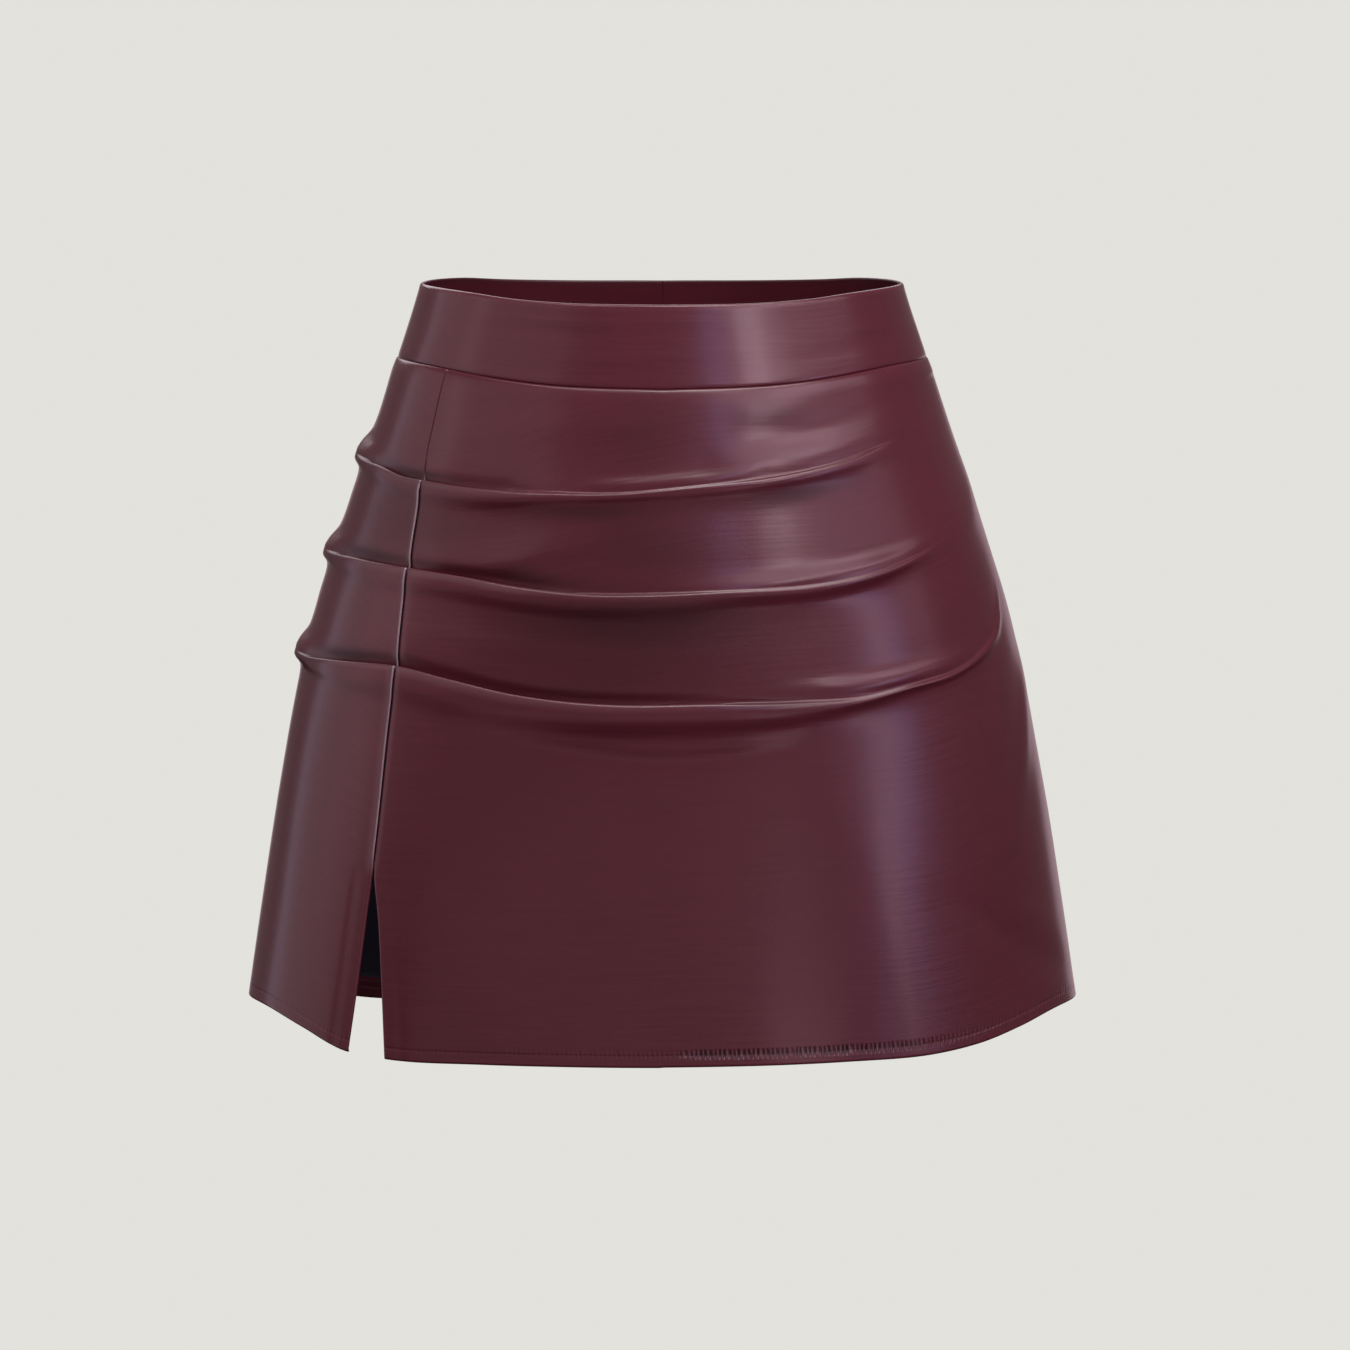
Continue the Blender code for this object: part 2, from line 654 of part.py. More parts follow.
def block(name, size, centre, frame, collection):
    """Add a bevelled block in the slider's frame; size and centre are in millimetres."""
    bpy.ops.mesh.primitive_cube_add(size=1.0)
    item = bpy.context.object
    item.name = item.data.name = name
    item.data.transform(Matrix.Diagonal((*(Vector(size) * MM), 1.0)))
    item.matrix_world = frame @ Matrix.Translation(Vector(centre) * MM)
    bevel = item.modifiers.new("edges", "BEVEL")
    bevel.width = SLIDER_BEVEL * MM
    bevel.segments = 2
    item.data.materials.append(finish_material("zip_metal"))
    move_to(item, collection)
    return item


def bail(frame, hinge, collection):
    """Bend the wire loop that the pull hangs on, in the plane across the hinge."""
    turns = np.radians(np.linspace(-90.0, 90.0, 13))
    leg = HINGE_LIFT + SLIDER_PLATE[1] / 2
    arc = [(0.0, BAIL_RADIUS * math.cos(turn), BAIL_RADIUS * math.sin(turn)) for turn in turns]
    route = [(0.0, -leg, -BAIL_RADIUS)] + arc + [(0.0, -leg, BAIL_RADIUS)]
    return wire("slider_bail", route, "zip_metal", frame @ Matrix.Translation(hinge), collection)


def zip_slider(frame, hinge, collection, cutters):
    """Join the slider's body, its neck through the parted edges, its outer plate and the bail."""
    body_middle = -(WALL / MM + SLIDER_LIFT) - SLIDER_BODY[1] / 2
    plate_middle = SLIDER_LIFT + SLIDER_PLATE[1] / 2
    across, up = SLIDER_NECK_SIZE
    neck = (across, plate_middle - body_middle, up)
    body = block("zip_slider", SLIDER_BODY, (0.0, body_middle, 0.0), frame, collection)
    joined = [
        block("slider_neck", neck, (0.0, (body_middle + plate_middle) / 2, 0.0), frame, cutters),
        block("slider_plate", SLIDER_PLATE, (0.0, plate_middle, 0.0), frame, cutters),
        bail(frame, hinge, cutters),
    ]
    for item in joined:
        item.hide_render = True
        item.display_type = "WIRE"
        union = body.modifiers.new(item.name, "BOOLEAN")
        union.operation = "UNION"
        union.solver = "EXACT"
        union.object = item


def pull_outline():
    """A teardrop: straight sides that widen from the bar to a round end."""
    end_height = -(PULL_LENGTH - PULL_END_RADIUS)
    turns = np.radians(np.linspace(4.0, -184.0, 15))
    end = [(PULL_END_RADIUS * math.cos(turn), end_height + PULL_END_RADIUS * math.sin(turn)) for turn in turns]
    corner = PULL_TOP_HALF_WIDTH - PULL_CORNER
    shoulder = PULL_BAR - PULL_CORNER
    left_top = [(-PULL_TOP_HALF_WIDTH, shoulder), (-corner, PULL_BAR)]
    right_top = [(corner, PULL_BAR), (PULL_TOP_HALF_WIDTH, shoulder)]
    return end + left_top + right_top


def zip_pull(frame, hinge, collection):
    """Cut the pull from flat metal; its window lets it swing round the bail."""
    half_width, lower_end = PULL_WINDOW
    window = [(half_width, -lower_end), (half_width, -PULL_BAR),
              (-half_width, -PULL_BAR), (-half_width, -lower_end)]
    upright = frame @ Matrix.Translation(hinge) @ Matrix.Rotation(math.radians(90.0), 4, "X")
    flat_shape("zip_pull", (pull_outline(), window), PULL_THICKNESS, "zip_metal", upright, collection)


def strip_outline(path, thickness):
    """Outline a strip of even thickness that follows a path."""
    path = np.array(path, float)
    along = np.gradient(path, axis=0)
    along /= np.linalg.norm(along, axis=1)[:, None]
    normal = np.stack([-along[:, 1], along[:, 0]], axis=1) * thickness / 2
    return [tuple(point) for point in np.vstack([path + normal, (path - normal)[::-1]])]


def hook_and_bar(collection):
    """Close the band on the inside: a bent hook on the left half catches a wire bar on the right half."""
    frame = centre_back_frame(HOOK_BELOW, BAND_OUT) @ Matrix.Translation((0.0, -DOUBLE_WALL, 0.0))
    clear = -SEAM_GAP / MM
    share_in, share_up = BAR_SHOULDER
    half_bar = [(clear, 1.0), (BAR_IN * share_in, 1.0), (BAR_IN, share_up)]
    bar = [(BAR_ACROSS, depth, -BAR_HALF_LENGTH * share) for depth, share in half_bar]
    bar += [(BAR_ACROSS, depth, BAR_HALF_LENGTH * share) for depth, share in reversed(half_bar)]
    wire("band_bar", bar, "hook_metal", frame, collection)
    turns = np.radians(np.linspace(270.0, 90.0, 9))
    bend = [(BAR_ACROSS + HOOK_RADIUS * math.cos(t), BAR_IN + HOOK_RADIUS * math.sin(t)) for t in turns]
    outline = strip_outline(list(HOOK_PLATE) + bend, HOOK_THICKNESS)
    flat_shape("band_hook", [outline], HOOK_HEIGHT, "hook_metal", frame, collection)


def main():
    clear_scene()
    collection = new_collection("leather_skirt")
    cutters = new_collection("cutters")
    waistbands(collection)
    front_panel(collection)
    side_front_panel(collection)
    back_panels(collection)
    zip_tapes(collection)
    hook_and_bar(collection)
    frame = centre_back_frame(SLIDER_BELOW, SLIDER_OUT)
    hinge = Vector((0.0, SLIDER_LIFT + SLIDER_PLATE[1] + HINGE_LIFT, HINGE_UP)) * MM
    zip_slider(frame, hinge, collection, cutters)
    zip_pull(frame, hinge, collection)
    print("the pull's hinge, in metres:", tuple(round(value, 6) for value in frame @ hinge))


main()
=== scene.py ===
# %% [markdown]
# # A pleated mini skirt in glossy faux leather
# The CAD model is the pattern of this skirt and its fixed frame: it says where each panel lies, how thick the
# wall is and where the pleats run. This file dresses it: every panel gets folds, rolled edges and a finish.
# Up is +Z, the front faces -Y and the wearer's left is +X, with the origin in the middle of the waist.

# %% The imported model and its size
import json
import math

import bpy
import numpy as np
from mathutils import Matrix, Vector

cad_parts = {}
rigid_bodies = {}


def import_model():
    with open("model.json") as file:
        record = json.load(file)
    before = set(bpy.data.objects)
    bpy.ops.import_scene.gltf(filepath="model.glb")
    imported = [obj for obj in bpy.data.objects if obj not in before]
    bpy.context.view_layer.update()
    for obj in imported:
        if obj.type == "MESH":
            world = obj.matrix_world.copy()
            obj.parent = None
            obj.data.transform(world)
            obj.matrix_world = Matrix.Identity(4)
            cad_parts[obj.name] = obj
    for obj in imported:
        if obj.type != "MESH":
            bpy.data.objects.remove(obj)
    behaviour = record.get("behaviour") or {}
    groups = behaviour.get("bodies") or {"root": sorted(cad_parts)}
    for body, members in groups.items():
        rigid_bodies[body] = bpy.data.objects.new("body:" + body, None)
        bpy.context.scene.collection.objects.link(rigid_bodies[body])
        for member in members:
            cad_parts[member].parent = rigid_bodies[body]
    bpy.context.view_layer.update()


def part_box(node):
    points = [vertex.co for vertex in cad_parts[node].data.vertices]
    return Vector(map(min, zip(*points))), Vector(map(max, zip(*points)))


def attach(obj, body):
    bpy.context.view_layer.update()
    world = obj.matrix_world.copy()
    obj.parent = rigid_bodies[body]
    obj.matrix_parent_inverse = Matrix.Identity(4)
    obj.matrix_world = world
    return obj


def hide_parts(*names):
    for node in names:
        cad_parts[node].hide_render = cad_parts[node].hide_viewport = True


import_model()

MM = 0.001


def add(operator, name, **settings):
    """Deselect everything, add one thing with a Blender operator, and name it."""
    bpy.ops.object.select_all(action="DESELECT")
    operator(**settings)
    item = bpy.context.object
    item.name = item.data.name = name
    return item


# %% [markdown]
# ## The camera
# A skirt is shown from a little above, with a long lens, so that its shape isn't distorted. The camera
# stands almost four metres away; the lens follows from how wide a view it takes in at the skirt.

# %% The camera
VIEW_WIDTH = 688.5 * MM
CAMERA_DISTANCE = 3.93
CAMERA_RISE = 6.9
AIM = Vector((6.6, 0.0, -195.4)) * MM
FILM_WIDTH = 36.0


def direction(azimuth, rise):
    """Point away from the skirt: azimuth turns from the front towards the wearer's left, rise upwards."""
    turn, lift = math.radians(azimuth), math.radians(rise)
    return Vector((math.sin(turn) * math.cos(lift), -math.cos(turn) * math.cos(lift), math.sin(lift)))


scene = bpy.context.scene
camera = add(bpy.ops.object.camera_add, "camera", location=AIM + direction(0, CAMERA_RISE) * CAMERA_DISTANCE,
             rotation=(math.radians(90.0 - CAMERA_RISE), 0.0, 0.0))
camera.data.sensor_width = FILM_WIDTH
camera.data.lens = FILM_WIDTH * CAMERA_DISTANCE / VIEW_WIDTH
scene.camera = camera
print("the lens is", round(camera.data.lens), "mm")

# %% [markdown]
# ## Studio light
# Glossy cloth looks the way its lights are shaped. A tall strip light at the right gives the long streak, and
# cooler strips beside it tint its edges. Others graze the left side and the right rim, and boxes overhead
# catch the top of every pleat. All else is dim, so that the burgundy keeps its depth.

# %% Lights that face the skirt
# Each light: its name, azimuth, rise, distance, width, height, roll, colour and glow.
LIGHTS = (
    ("key_box", 30, 19, 1.7, 0.26, 0.42, 0, (1, 0.76, 0.88), 4.55),
    ("key_box_soft_edge", 38.5, 20, 1.7, 0.22, 0.42, 0, (1, 0.72, 0.86), 1.15),
    ("key_box_cool_edge", 17, 19, 1.7, 0.2, 0.44, 0, (0.55, 0.46, 1), 1.7),
    ("side_box", 57, 30, 1.7, 1.2, 0.36, 0, (1, 0.74, 0.9), 1.5),
    ("side_box_low", 60, 12, 1.7, 0.95, 0.34, 0, (1, 0.7, 0.94), 0.65),
    ("crest_box", 36, 38, 1.7, 1.1, 0.66, 0, (1, 0.8, 0.95), 1.35),
    ("low_strip", 49, -1, 1.7, 0.16, 0.66, -28, (1, 0.72, 0.88), 2.2),
    ("low_strip_cool_side", 55.5, 1, 1.7, 0.14, 0.56, -28, (0.44, 0.42, 1), 1.9),
    ("low_strip_cool_edge", 43.5, -3, 1.7, 0.06, 0.74, -28, (0.5, 0.42, 1), 1.4),
    ("hem_strip", 25, -13, 1.7, 0.4, 0.12, 0, (1, 0.7, 0.86), 1.5),
    ("overhead_box", 32, 66, 2, 1.2, 0.75, 0, (1, 0.95, 0.95), 4.4),
    ("overhead_strip", -12, 66, 2, 1.7, 0.16, 0, (1, 0.93, 0.95), 5),
    ("overhead_left", -54, 62, 2, 1, 0.2, 0, (1, 0.86, 0.92), 2.2),
    ("front_fill", -8, 52, 2.6, 2, 0.6, 0, (1, 0.93, 0.95), 1.9),
    ("front_low", -10, -12, 1.7, 2.5, 0.34, 0, (1, 0.58, 0.68), 0.3),
    ("left_soft", -56, 22, 1.8, 1.5, 0.8, 0, (1, 0.78, 0.84), 0.34),
    ("left_box", -94, 2, 1.7, 1.45, 1.7, 0, (1, 0.76, 0.86), 0.41),
    ("left_warm", -68, 5, 1.7, 1.3, 0.5, 0, (1, 0.3, 0.42), 0.28),
    ("left_strip", -112, -4, 1.6, 0.24, 1.4, 0, (0.62, 0.66, 1), 0.32),
    ("back_fill", -165, 34, 2.4, 2.6, 1.4, 0, (0.97, 0.92, 0.97), 1.3),
    ("back_low", 170, -6, 2.2, 2.6, 0.8, 0, (1, 0.72, 0.82), 0.4),
)
LIGHT_TARGET = Vector((0.0, 0.0, -0.19))
WATTS_PER_AREA = 4.0         # for a glow of 1

for name, azimuth, rise, distance, width, height, roll, colour, glow in LIGHTS:
    away = direction(azimuth, rise)
    facing = away.to_track_quat("Z", "Y").to_euler()
    facing.rotate_axis("Z", math.radians(roll))
    place = LIGHT_TARGET + away * distance
    lamp = add(bpy.ops.object.light_add, name, type="AREA", location=place, rotation=facing)
    lamp.data.shape = "RECTANGLE"
    lamp.data.size, lamp.data.size_y = width, height
    lamp.data.color = colour
    lamp.data.energy = glow * WATTS_PER_AREA * width * height
    lamp.visible_camera = False
print(len(LIGHTS), "lights face the skirt")

# %% [markdown]
# ## Shader maths as plain expressions
# A finish is a recipe of numbers that vary over the surface. Wrapping a socket in a small class lets the
# recipe be written as sums and products, and each one adds its Math node.


# %% A value that varies over a surface
class Field:
    """A number on a surface; maths on it adds Math nodes."""

    def __init__(self, finish, socket):
        self.finish, self.socket = finish, socket

    def maths(self, operation, *values):
        inputs = dict(enumerate((self, *values)))
        return self.finish.node("ShaderNodeMath", {"operation": operation}, inputs)

    def __add__(self, other):
        return self.maths("ADD", other)

    def __sub__(self, other):
        return self.maths("SUBTRACT", other)

    def __rsub__(self, other):
        return self * -1.0 + other

    def __mul__(self, other):
        return self.maths("MULTIPLY", other)

    def __abs__(self):
        return self.maths("ABSOLUTE")

    def wave(self, length):
        """Go from -1 to 1 and back once for each length."""
        return (self * (2.0 * math.pi / length)).maths("SINE")

    def between(self, start, end):
        """Go smoothly from 0 at start to 1 at end."""
        settings = {"interpolation_type": "SMOOTHSTEP"}
        return self.finish.node("ShaderNodeMapRange", settings, {0: self, 1: start, 2: end})

    def near(self, value, reach):
        """Give 1 at a value, falling smoothly to 0 at a reach to both sides."""
        return 1.0 - abs(self - value).between(0.0, reach)

    __radd__ = __add__
    __rmul__ = __mul__


# %% A finish in the making
class Finish:
    """A material, and the nodes that vary it."""

    def __init__(self, name):
        self.material = bpy.data.materials.new(name)
        self.material.use_nodes = True
        self.nodes = self.material.node_tree.nodes
        self.shader = self.nodes["Principled BSDF"]
        print("a finish:", name)

    def node(self, kind, settings, inputs, output=0):
        """Add a node: first its settings, then the values or links of its sockets."""
        made = self.nodes.new(kind)
        for name, value in settings.items():
            setattr(made, name, value)
        for name, value in inputs.items():
            self.feed(made.inputs[name], value)
        return Field(self, made.outputs[output])

    def feed(self, socket, value):
        if isinstance(value, Field):
            self.material.node_tree.links.new(value.socket, socket)
        else:
            socket.default_value = value

    def shade(self, **values):
        """Set the shader's own sockets, named with _ for a space."""
        for name, value in values.items():
            self.feed(self.shader.inputs[name.replace("_", " ")], value)

    def place(self):
        return self.node("ShaderNodeTexCoord", {}, {}, "Object")

    def cloth_place(self):
        return self.node("ShaderNodeUVMap", {"uv_map": "cloth"}, {})

    def measure(self, name):
        return self.node("ShaderNodeAttribute", {"attribute_name": name}, {}, "Fac")

    def noise(self, place, scale, detail=2.0):
        """Give a soft random value around 0, from about -0.5 to 0.5."""
        inputs = {"Vector": place, "Scale": scale, "Detail": detail}
        return self.node("ShaderNodeTexNoise", {}, inputs) - 0.5

    def streaks(self, place, scale, detail):
        """Give noise of a different scale along each measure of a place."""
        stretched = self.node("ShaderNodeVectorMath", {"operation": "MULTIPLY"}, {0: place, 1: scale})
        return self.noise(stretched, 1.0, detail)

    def parts(self, place):
        """Split a place on the cloth into its two measures, in metres."""
        split = self.node("ShaderNodeSeparateXYZ", {}, {0: place})
        return split, Field(self, split.socket.node.outputs[1])

    def mix(self, share, start, end):
        settings = {"data_type": "RGBA"}
        return self.node("ShaderNodeMix", settings, {0: share, 6: start, 7: end}, 2)

    def relief(self, height_in_mm):
        """Turn a height in millimetres into a bumped normal."""
        self.shade(Normal=self.node("ShaderNodeBump", {}, {"Height": height_in_mm, "Distance": MM}))


# %% [markdown]
# ## Room and floor
# The backdrop is one even pale tone. The camera sees it bright, but it reflects only dimly in the cloth, as
# it would behind and below a skirt that is lit by its own lamps. A dark cloth, out of the camera's sight,
# lies just above the floor.

# %% Pale room
PALE = (0.767, 0.759, 0.723, 1.0)
DIM = (0.180, 0.138, 0.146, 1.0)
BLACK = (0.0, 0.0, 0.0, 1.0)

scene.view_settings.view_transform = "Standard"
scene.view_settings.look = "None"
room = bpy.data.worlds.new("pale_room")
room.use_nodes = True
scene.world = room
nodes, links = room.node_tree.nodes, room.node_tree.links
ray = nodes.new("ShaderNodeLightPath")
tone = nodes.new("ShaderNodeMix")
tone.data_type = "RGBA"
tone.inputs[6].default_value, tone.inputs[7].default_value = DIM, PALE
links.new(ray.outputs["Is Camera Ray"], tone.inputs[0])
links.new(tone.outputs[2], nodes["Background"].inputs["Color"])
print("the room shows", PALE[:3], "to the camera and gives", DIM[:3], "of light")

# %% Pale floor and dark cloth
FLOOR_HEIGHT, DARK_CLOTH_HEIGHT = -1.2, -1.15


def lay_plane(size, height, finish):
    name, place = finish.material.name, (0.0, 0.0, height)
    plane = add(bpy.ops.mesh.primitive_plane_add, name, size=size, location=place)
    plane.data.materials.append(finish.material)
    return plane


pale = Finish("pale_floor")
pale.shade(Base_Color=BLACK, Specular_IOR_Level=0.0, Emission_Color=PALE, Emission_Strength=1.0)
floor = lay_plane(30.0, FLOOR_HEIGHT, pale)
floor.visible_glossy = floor.visible_diffuse = False

dark = Finish("dark_floor_cloth")
dark.shade(Base_Color=(0.025, 0.018, 0.024, 1.0), Roughness=0.95)
dark_cloth = lay_plane(9.0, DARK_CLOTH_HEIGHT, dark)
dark_cloth.visible_camera = False
print("the floor lies at", FLOOR_HEIGHT, "m and the dark cloth at", DARK_CLOTH_HEIGHT, "m")

# %% [markdown]
# ## The faux leather
# Faux leather is a thin plastic film on a knitted backing. The film is smooth with a very fine pebble, so its
# gloss is slightly broken, and long faint draws run round the body. It is rubbed smoother and lighter where
# an edge or a pleat stands out. A painted highlight runs along the raised seam and the fold lines, and
# painted shade darkens and dulls the cloth where the pleats would shade it. Along the front hem the
# machine's stitches pucker it into small ticks, with painted shade in each tick and a painted highlight
# between them.

# %% Burgundy faux leather
BURGUNDY = (0.101, 0.0172, 0.0264, 1.0)
BURGUNDY_DEEP = (0.080, 0.0132, 0.0212, 1.0)
BURGUNDY_WORN = (0.150, 0.0420, 0.0560, 1.0)
# painted shade: the deep tone laid where the pleats would shade the cloth and in the hem's pucker ticks
BURGUNDY_PAINTED_SHADE = (0.036, 0.0042, 0.0074, 1.0)
# painted highlight: the pale tone laid along the raised seam, the fold lines and between the pucker ticks
PAINTED_HIGHLIGHT_PALE = (0.360, 0.270, 0.290, 1.0)
HEM_STITCHES_UP = 6.6 * MM
HEM_STITCH = 2.4 * MM

# the stored measures: wear, puckering, painted highlight and painted shade
MEASURES = ("worn", "pucker", "rubbed", "sheltered")

leather = Finish("burgundy_leather_gloss")
at, on_cloth = leather.place(), leather.cloth_place()
across, up = leather.parts(on_cloth)
pebble = leather.node("ShaderNodeTexVoronoi", {}, {"Vector": at, "Scale": 1500.0})
mottle = leather.noise(at, 14.0, 3.0)
fine_mottle = leather.noise(at, 160.0)
draws = leather.streaks(on_cloth, (22.0, 420.0, 1.0), 3.0)
uneven = leather.streaks(on_cloth, (260.0, 60.0, 1.0), 2.0)
worn, pucker, rubbed, sheltered = (leather.measure(name) for name in MEASURES)
stitch_line = up.near(HEM_STITCHES_UP, 1.2 * MM)
tick_shape = (across + uneven * (2.2 * MM)).wave(HEM_STITCH) * 0.5 + 0.5
gathered = up.near(HEM_STITCHES_UP + 0.3 * MM, 3.2 * MM) * pucker * (uneven * 2.6 + 1.0)
ticks = tick_shape * gathered
shade_share = (mottle * 0.9 + fine_mottle * 0.35 + draws + 0.42).between(0.0, 1.0)
colour = leather.mix(shade_share, BURGUNDY, BURGUNDY_DEEP)
# painted shade where the pleats would shade the cloth, and in each pucker tick
colour = leather.mix(sheltered + ticks * 0.9, colour, BURGUNDY_PAINTED_SHADE)
colour = leather.mix(worn * 0.45, colour, BURGUNDY_WORN)
# painted highlight along the raised seam and the fold lines, and between the pucker ticks
colour = leather.mix(rubbed + (1.0 - tick_shape) * gathered * 0.30, colour, PAINTED_HIGHLIGHT_PALE)
leather.shade(
    Base_Color=colour,
    Roughness=mottle * 0.03 + fine_mottle * 0.03 - worn * 0.06 + sheltered * 0.14 + 0.292,
    Specular_IOR_Level=0.5,
    Coat_Weight=0.30 - sheltered * 0.28,
    Coat_Roughness=0.16,
)
leather.relief(pebble * 0.010 + draws * 0.080 - stitch_line * 0.10 - ticks * 1.20)

# %% [markdown]
# ## The knitted backing
# The inside shows the backing: a dark, matt jersey whose wales run up and whose courses run round.

# %% Dark knitted backing
KNIT_DARK = (0.0120, 0.0105, 0.0220, 1.0)
KNIT_LIGHT = (0.0260, 0.0220, 0.0420, 1.0)
WALE, COURSE = 0.9 * MM, 0.7 * MM

knit = Finish("knit_backing")
across, up = knit.parts(knit.cloth_place())
loops = across.wave(WALE) * 0.5 + (up + across.wave(WALE) * (0.15 * MM)).wave(COURSE) * 0.5
fuzz = knit.noise(knit.place(), 90.0, 3.0)
knit.shade(
    Base_Color=knit.mix((loops * 0.25 + fuzz * 0.8 + 0.5).between(0.0, 1.0), KNIT_DARK, KNIT_LIGHT),
    Roughness=fuzz * 0.08 + 0.88,
    Specular_IOR_Level=0.25,
    Sheen_Weight=0.15,
    Sheen_Roughness=0.5,
)
knit.relief(loops * 0.05 + fuzz * 0.05)

# %% [markdown]
# ## Zip tape, thread and metals
# The tape is a fine twill, the thread is twisted polyester, the zip's metal is lacquered dark to match the
# leather, and the hook and bar are plain nickel with fine rub marks.

# %% Twill tape and thread
TAPE_COLOUR = (0.055, 0.0110, 0.0170, 1.0)
TAPE_LIGHT = (0.095, 0.0220, 0.0320, 1.0)
TWILL = 0.8 * MM

tape = Finish("twill_tape")
across, up = tape.parts(tape.cloth_place())
ribs = (across + up).wave(TWILL) * 0.5 + 0.5
weft = across.wave(TWILL * 0.5) * 0.25
tape.shade(
    Base_Color=tape.mix(ribs * 0.8 + tape.noise(tape.place(), 300.0) * 0.4, TAPE_COLOUR, TAPE_LIGHT),
    Roughness=ribs * 0.08 + 0.72,
    Specular_IOR_Level=0.3,
    Sheen_Weight=0.2,
)
tape.relief(ribs * 0.05 + weft * 0.04)

THREAD_DARK = (0.070, 0.012, 0.019, 1.0)
THREAD_LIGHT = (0.130, 0.030, 0.042, 1.0)

thread = Finish("burgundy_thread")
twist = thread.noise(thread.place(), 1800.0)
thread.shade(
    Base_Color=thread.mix((twist + 0.5).between(0.2, 0.8), THREAD_DARK, THREAD_LIGHT),
    Roughness=twist * 0.15 + 0.55,
)
thread.relief(twist * 0.05)

# %% Lacquered zip metal and nickel
LACQUER_DARK = (0.070, 0.045, 0.052, 1.0)
LACQUER_RUBBED = (0.150, 0.100, 0.110, 1.0)
NICKEL_DARK = (0.46, 0.45, 0.43, 1.0)
NICKEL_LIGHT = (0.60, 0.59, 0.57, 1.0)

zip_metal = Finish("lacquered_zip_metal")
scuffs = zip_metal.noise(zip_metal.place(), 900.0, 4.0)
rub = zip_metal.noise(zip_metal.place(), 260.0)
zip_metal.shade(
    Base_Color=zip_metal.mix((rub * 1.6 + 0.4).between(0.35, 1.0), LACQUER_DARK, LACQUER_RUBBED),
    Metallic=0.85,
    Roughness=scuffs * 0.20 + 0.34,
    Coat_Weight=0.3,
    Coat_Roughness=0.2,
)
zip_metal.relief(scuffs * 0.015)

nickel = Finish("nickel_plate")
lines = nickel.streaks(nickel.place(), (200.0, 200.0, 2400.0), 3.0)
nickel.shade(
    Base_Color=nickel.mix(lines + 0.5, NICKEL_DARK, NICKEL_LIGHT),
    Metallic=1.0,
    Roughness=lines * 0.16 + 0.28,
)
nickel.relief(lines * 0.008)

# %% Metal parts keep their solids
METAL_NODES = {"zip_slider": zip_metal, "zip_pull": zip_metal, "band_hook": nickel, "band_bar": nickel}
for name, finish in METAL_NODES.items():
    for place_of_finish in bpy.data.objects[name].material_slots:
        place_of_finish.material = finish.material
print("kept as they are:", ", ".join(METAL_NODES))

# %% [markdown]
# ## Where the cloth lies
# A place on the skirt is given by its angle round the body, in degrees from the centre front towards the
# wearer's left, and by how far it lies below the waist. These are the pattern's own tables, in millimetres.

# %% The form and its level lines
WALL = 1.1
DOUBLE_WALL = 2.2
HEM_TURN_UP = 11.0
SLIT_TURN_IN = 10.0
FOLD_STEP = 0.6
SLIT_TOP = 282.0
BAND_OUT = -0.5
SIDE_SEAM = 98.0
CENTRE_BACK = 180.0

FORM_COLUMNS = ("below", "half_width", "front_depth", "back_depth")
FORM = (
    (-10, 121.4, 87, 87), (0, 124.2, 88.8, 88.8), (34, 135.2, 94.5, 95.5), (65, 145.3, 100.5, 104),
    (96, 155.9, 106, 113), (126, 165.7, 110.5, 121), (157, 175.5, 113.5, 126.5), (188, 183.1, 115.5, 129),
    (249, 194.9, 117.2, 129.5), (311, 204.7, 118.4, 129.7), (360, 212, 119.3, 130.2),
    (400, 218, 120, 130.8),
)
LEVEL_COLUMNS = ("angle", "band_top", "band_seam", "hem_left", "hem_right")
LEVELS = (
    (0, 0, 41.5, 377.9, 378.1), (25, -0.5, 39.8, 377, 378.4), (39, -1.9, 37.2, 375.9, 378.7),
    (48, -3.3, 35.2, 372.6, 376.2), (58, -4.3, 33.4, 366.8, 367.4), (68, -4.8, 32.6, 361.6, 361.4),
    (90, -5, 32.4, 360.3, 359.8), (112, -4.8, 32.6, 363, 362.6), (124, -4.2, 33.8, 370.6, 370.6),
    (138, -2.3, 37, 378.2, 378.2), (158, -0.6, 40.2, 378.6, 378.6), (180, 0, 41.5, 378.2, 378.2),
)
SEAM_COLUMNS = ("below", "side_front_edge", "front_edge")
SIDE_FRONT_SEAM = (
    (30, -52.6, -52.6), (60, -52.7, -52.7), (90, -51.1, -51.1), (133, -49.1, -49.1), (182, -47, -47),
    (215, -46.7, -46.7), (250, -46.3, -46.3), (282, -46.3, -46.2), (300, -46.5, -44.8), (340, -46.9, -42.4),
    (380, -47.5, -40.4),
)
print("the form has", len(FORM), "levels, and its level lines", len(LEVELS), "places to each side")

# %% The three pleats
PLEAT_COLUMNS = ("angle", "below", "fold", "height", "roll", "reach")
UPPER_PLEAT = (
    (-98, 81, 0, 0, 0, 6), (-90, 81.5, 0, 0.15, 1, 6), (-82, 82.4, 0.3, 0.4, 0.6, 6),
    (-75, 83.4, 0.55, 0.55, 0.15, 6.5), (-67, 85.2, 0.9, 0.6, 0, 7.5), (-58, 88.6, 1, 0.6, 0, 8),
    (-48, 90.2, 1, 0.5, 0, 8.5), (-40, 91.6, 0.95, 0.62, 0, 8.5), (-31, 92.3, 0.75, 0.95, 0, 7.6),
    (-22, 92.5, 0.15, 0.95, 0, 5.6), (-8, 92.2, 0, 1, 0, 4.3), (4, 89.3, 0, 1, 0, 5.5),
    (24, 83.8, 0, 1.3, 0, 5.4), (38, 77.6, 0, 1.05, 0, 6), (46, 73, 0, 0.45, 0, 6.5), (54, 69, 0, 0, 0, 6),
    (98, 59.6, 0, 0, 0, 4.5),
)
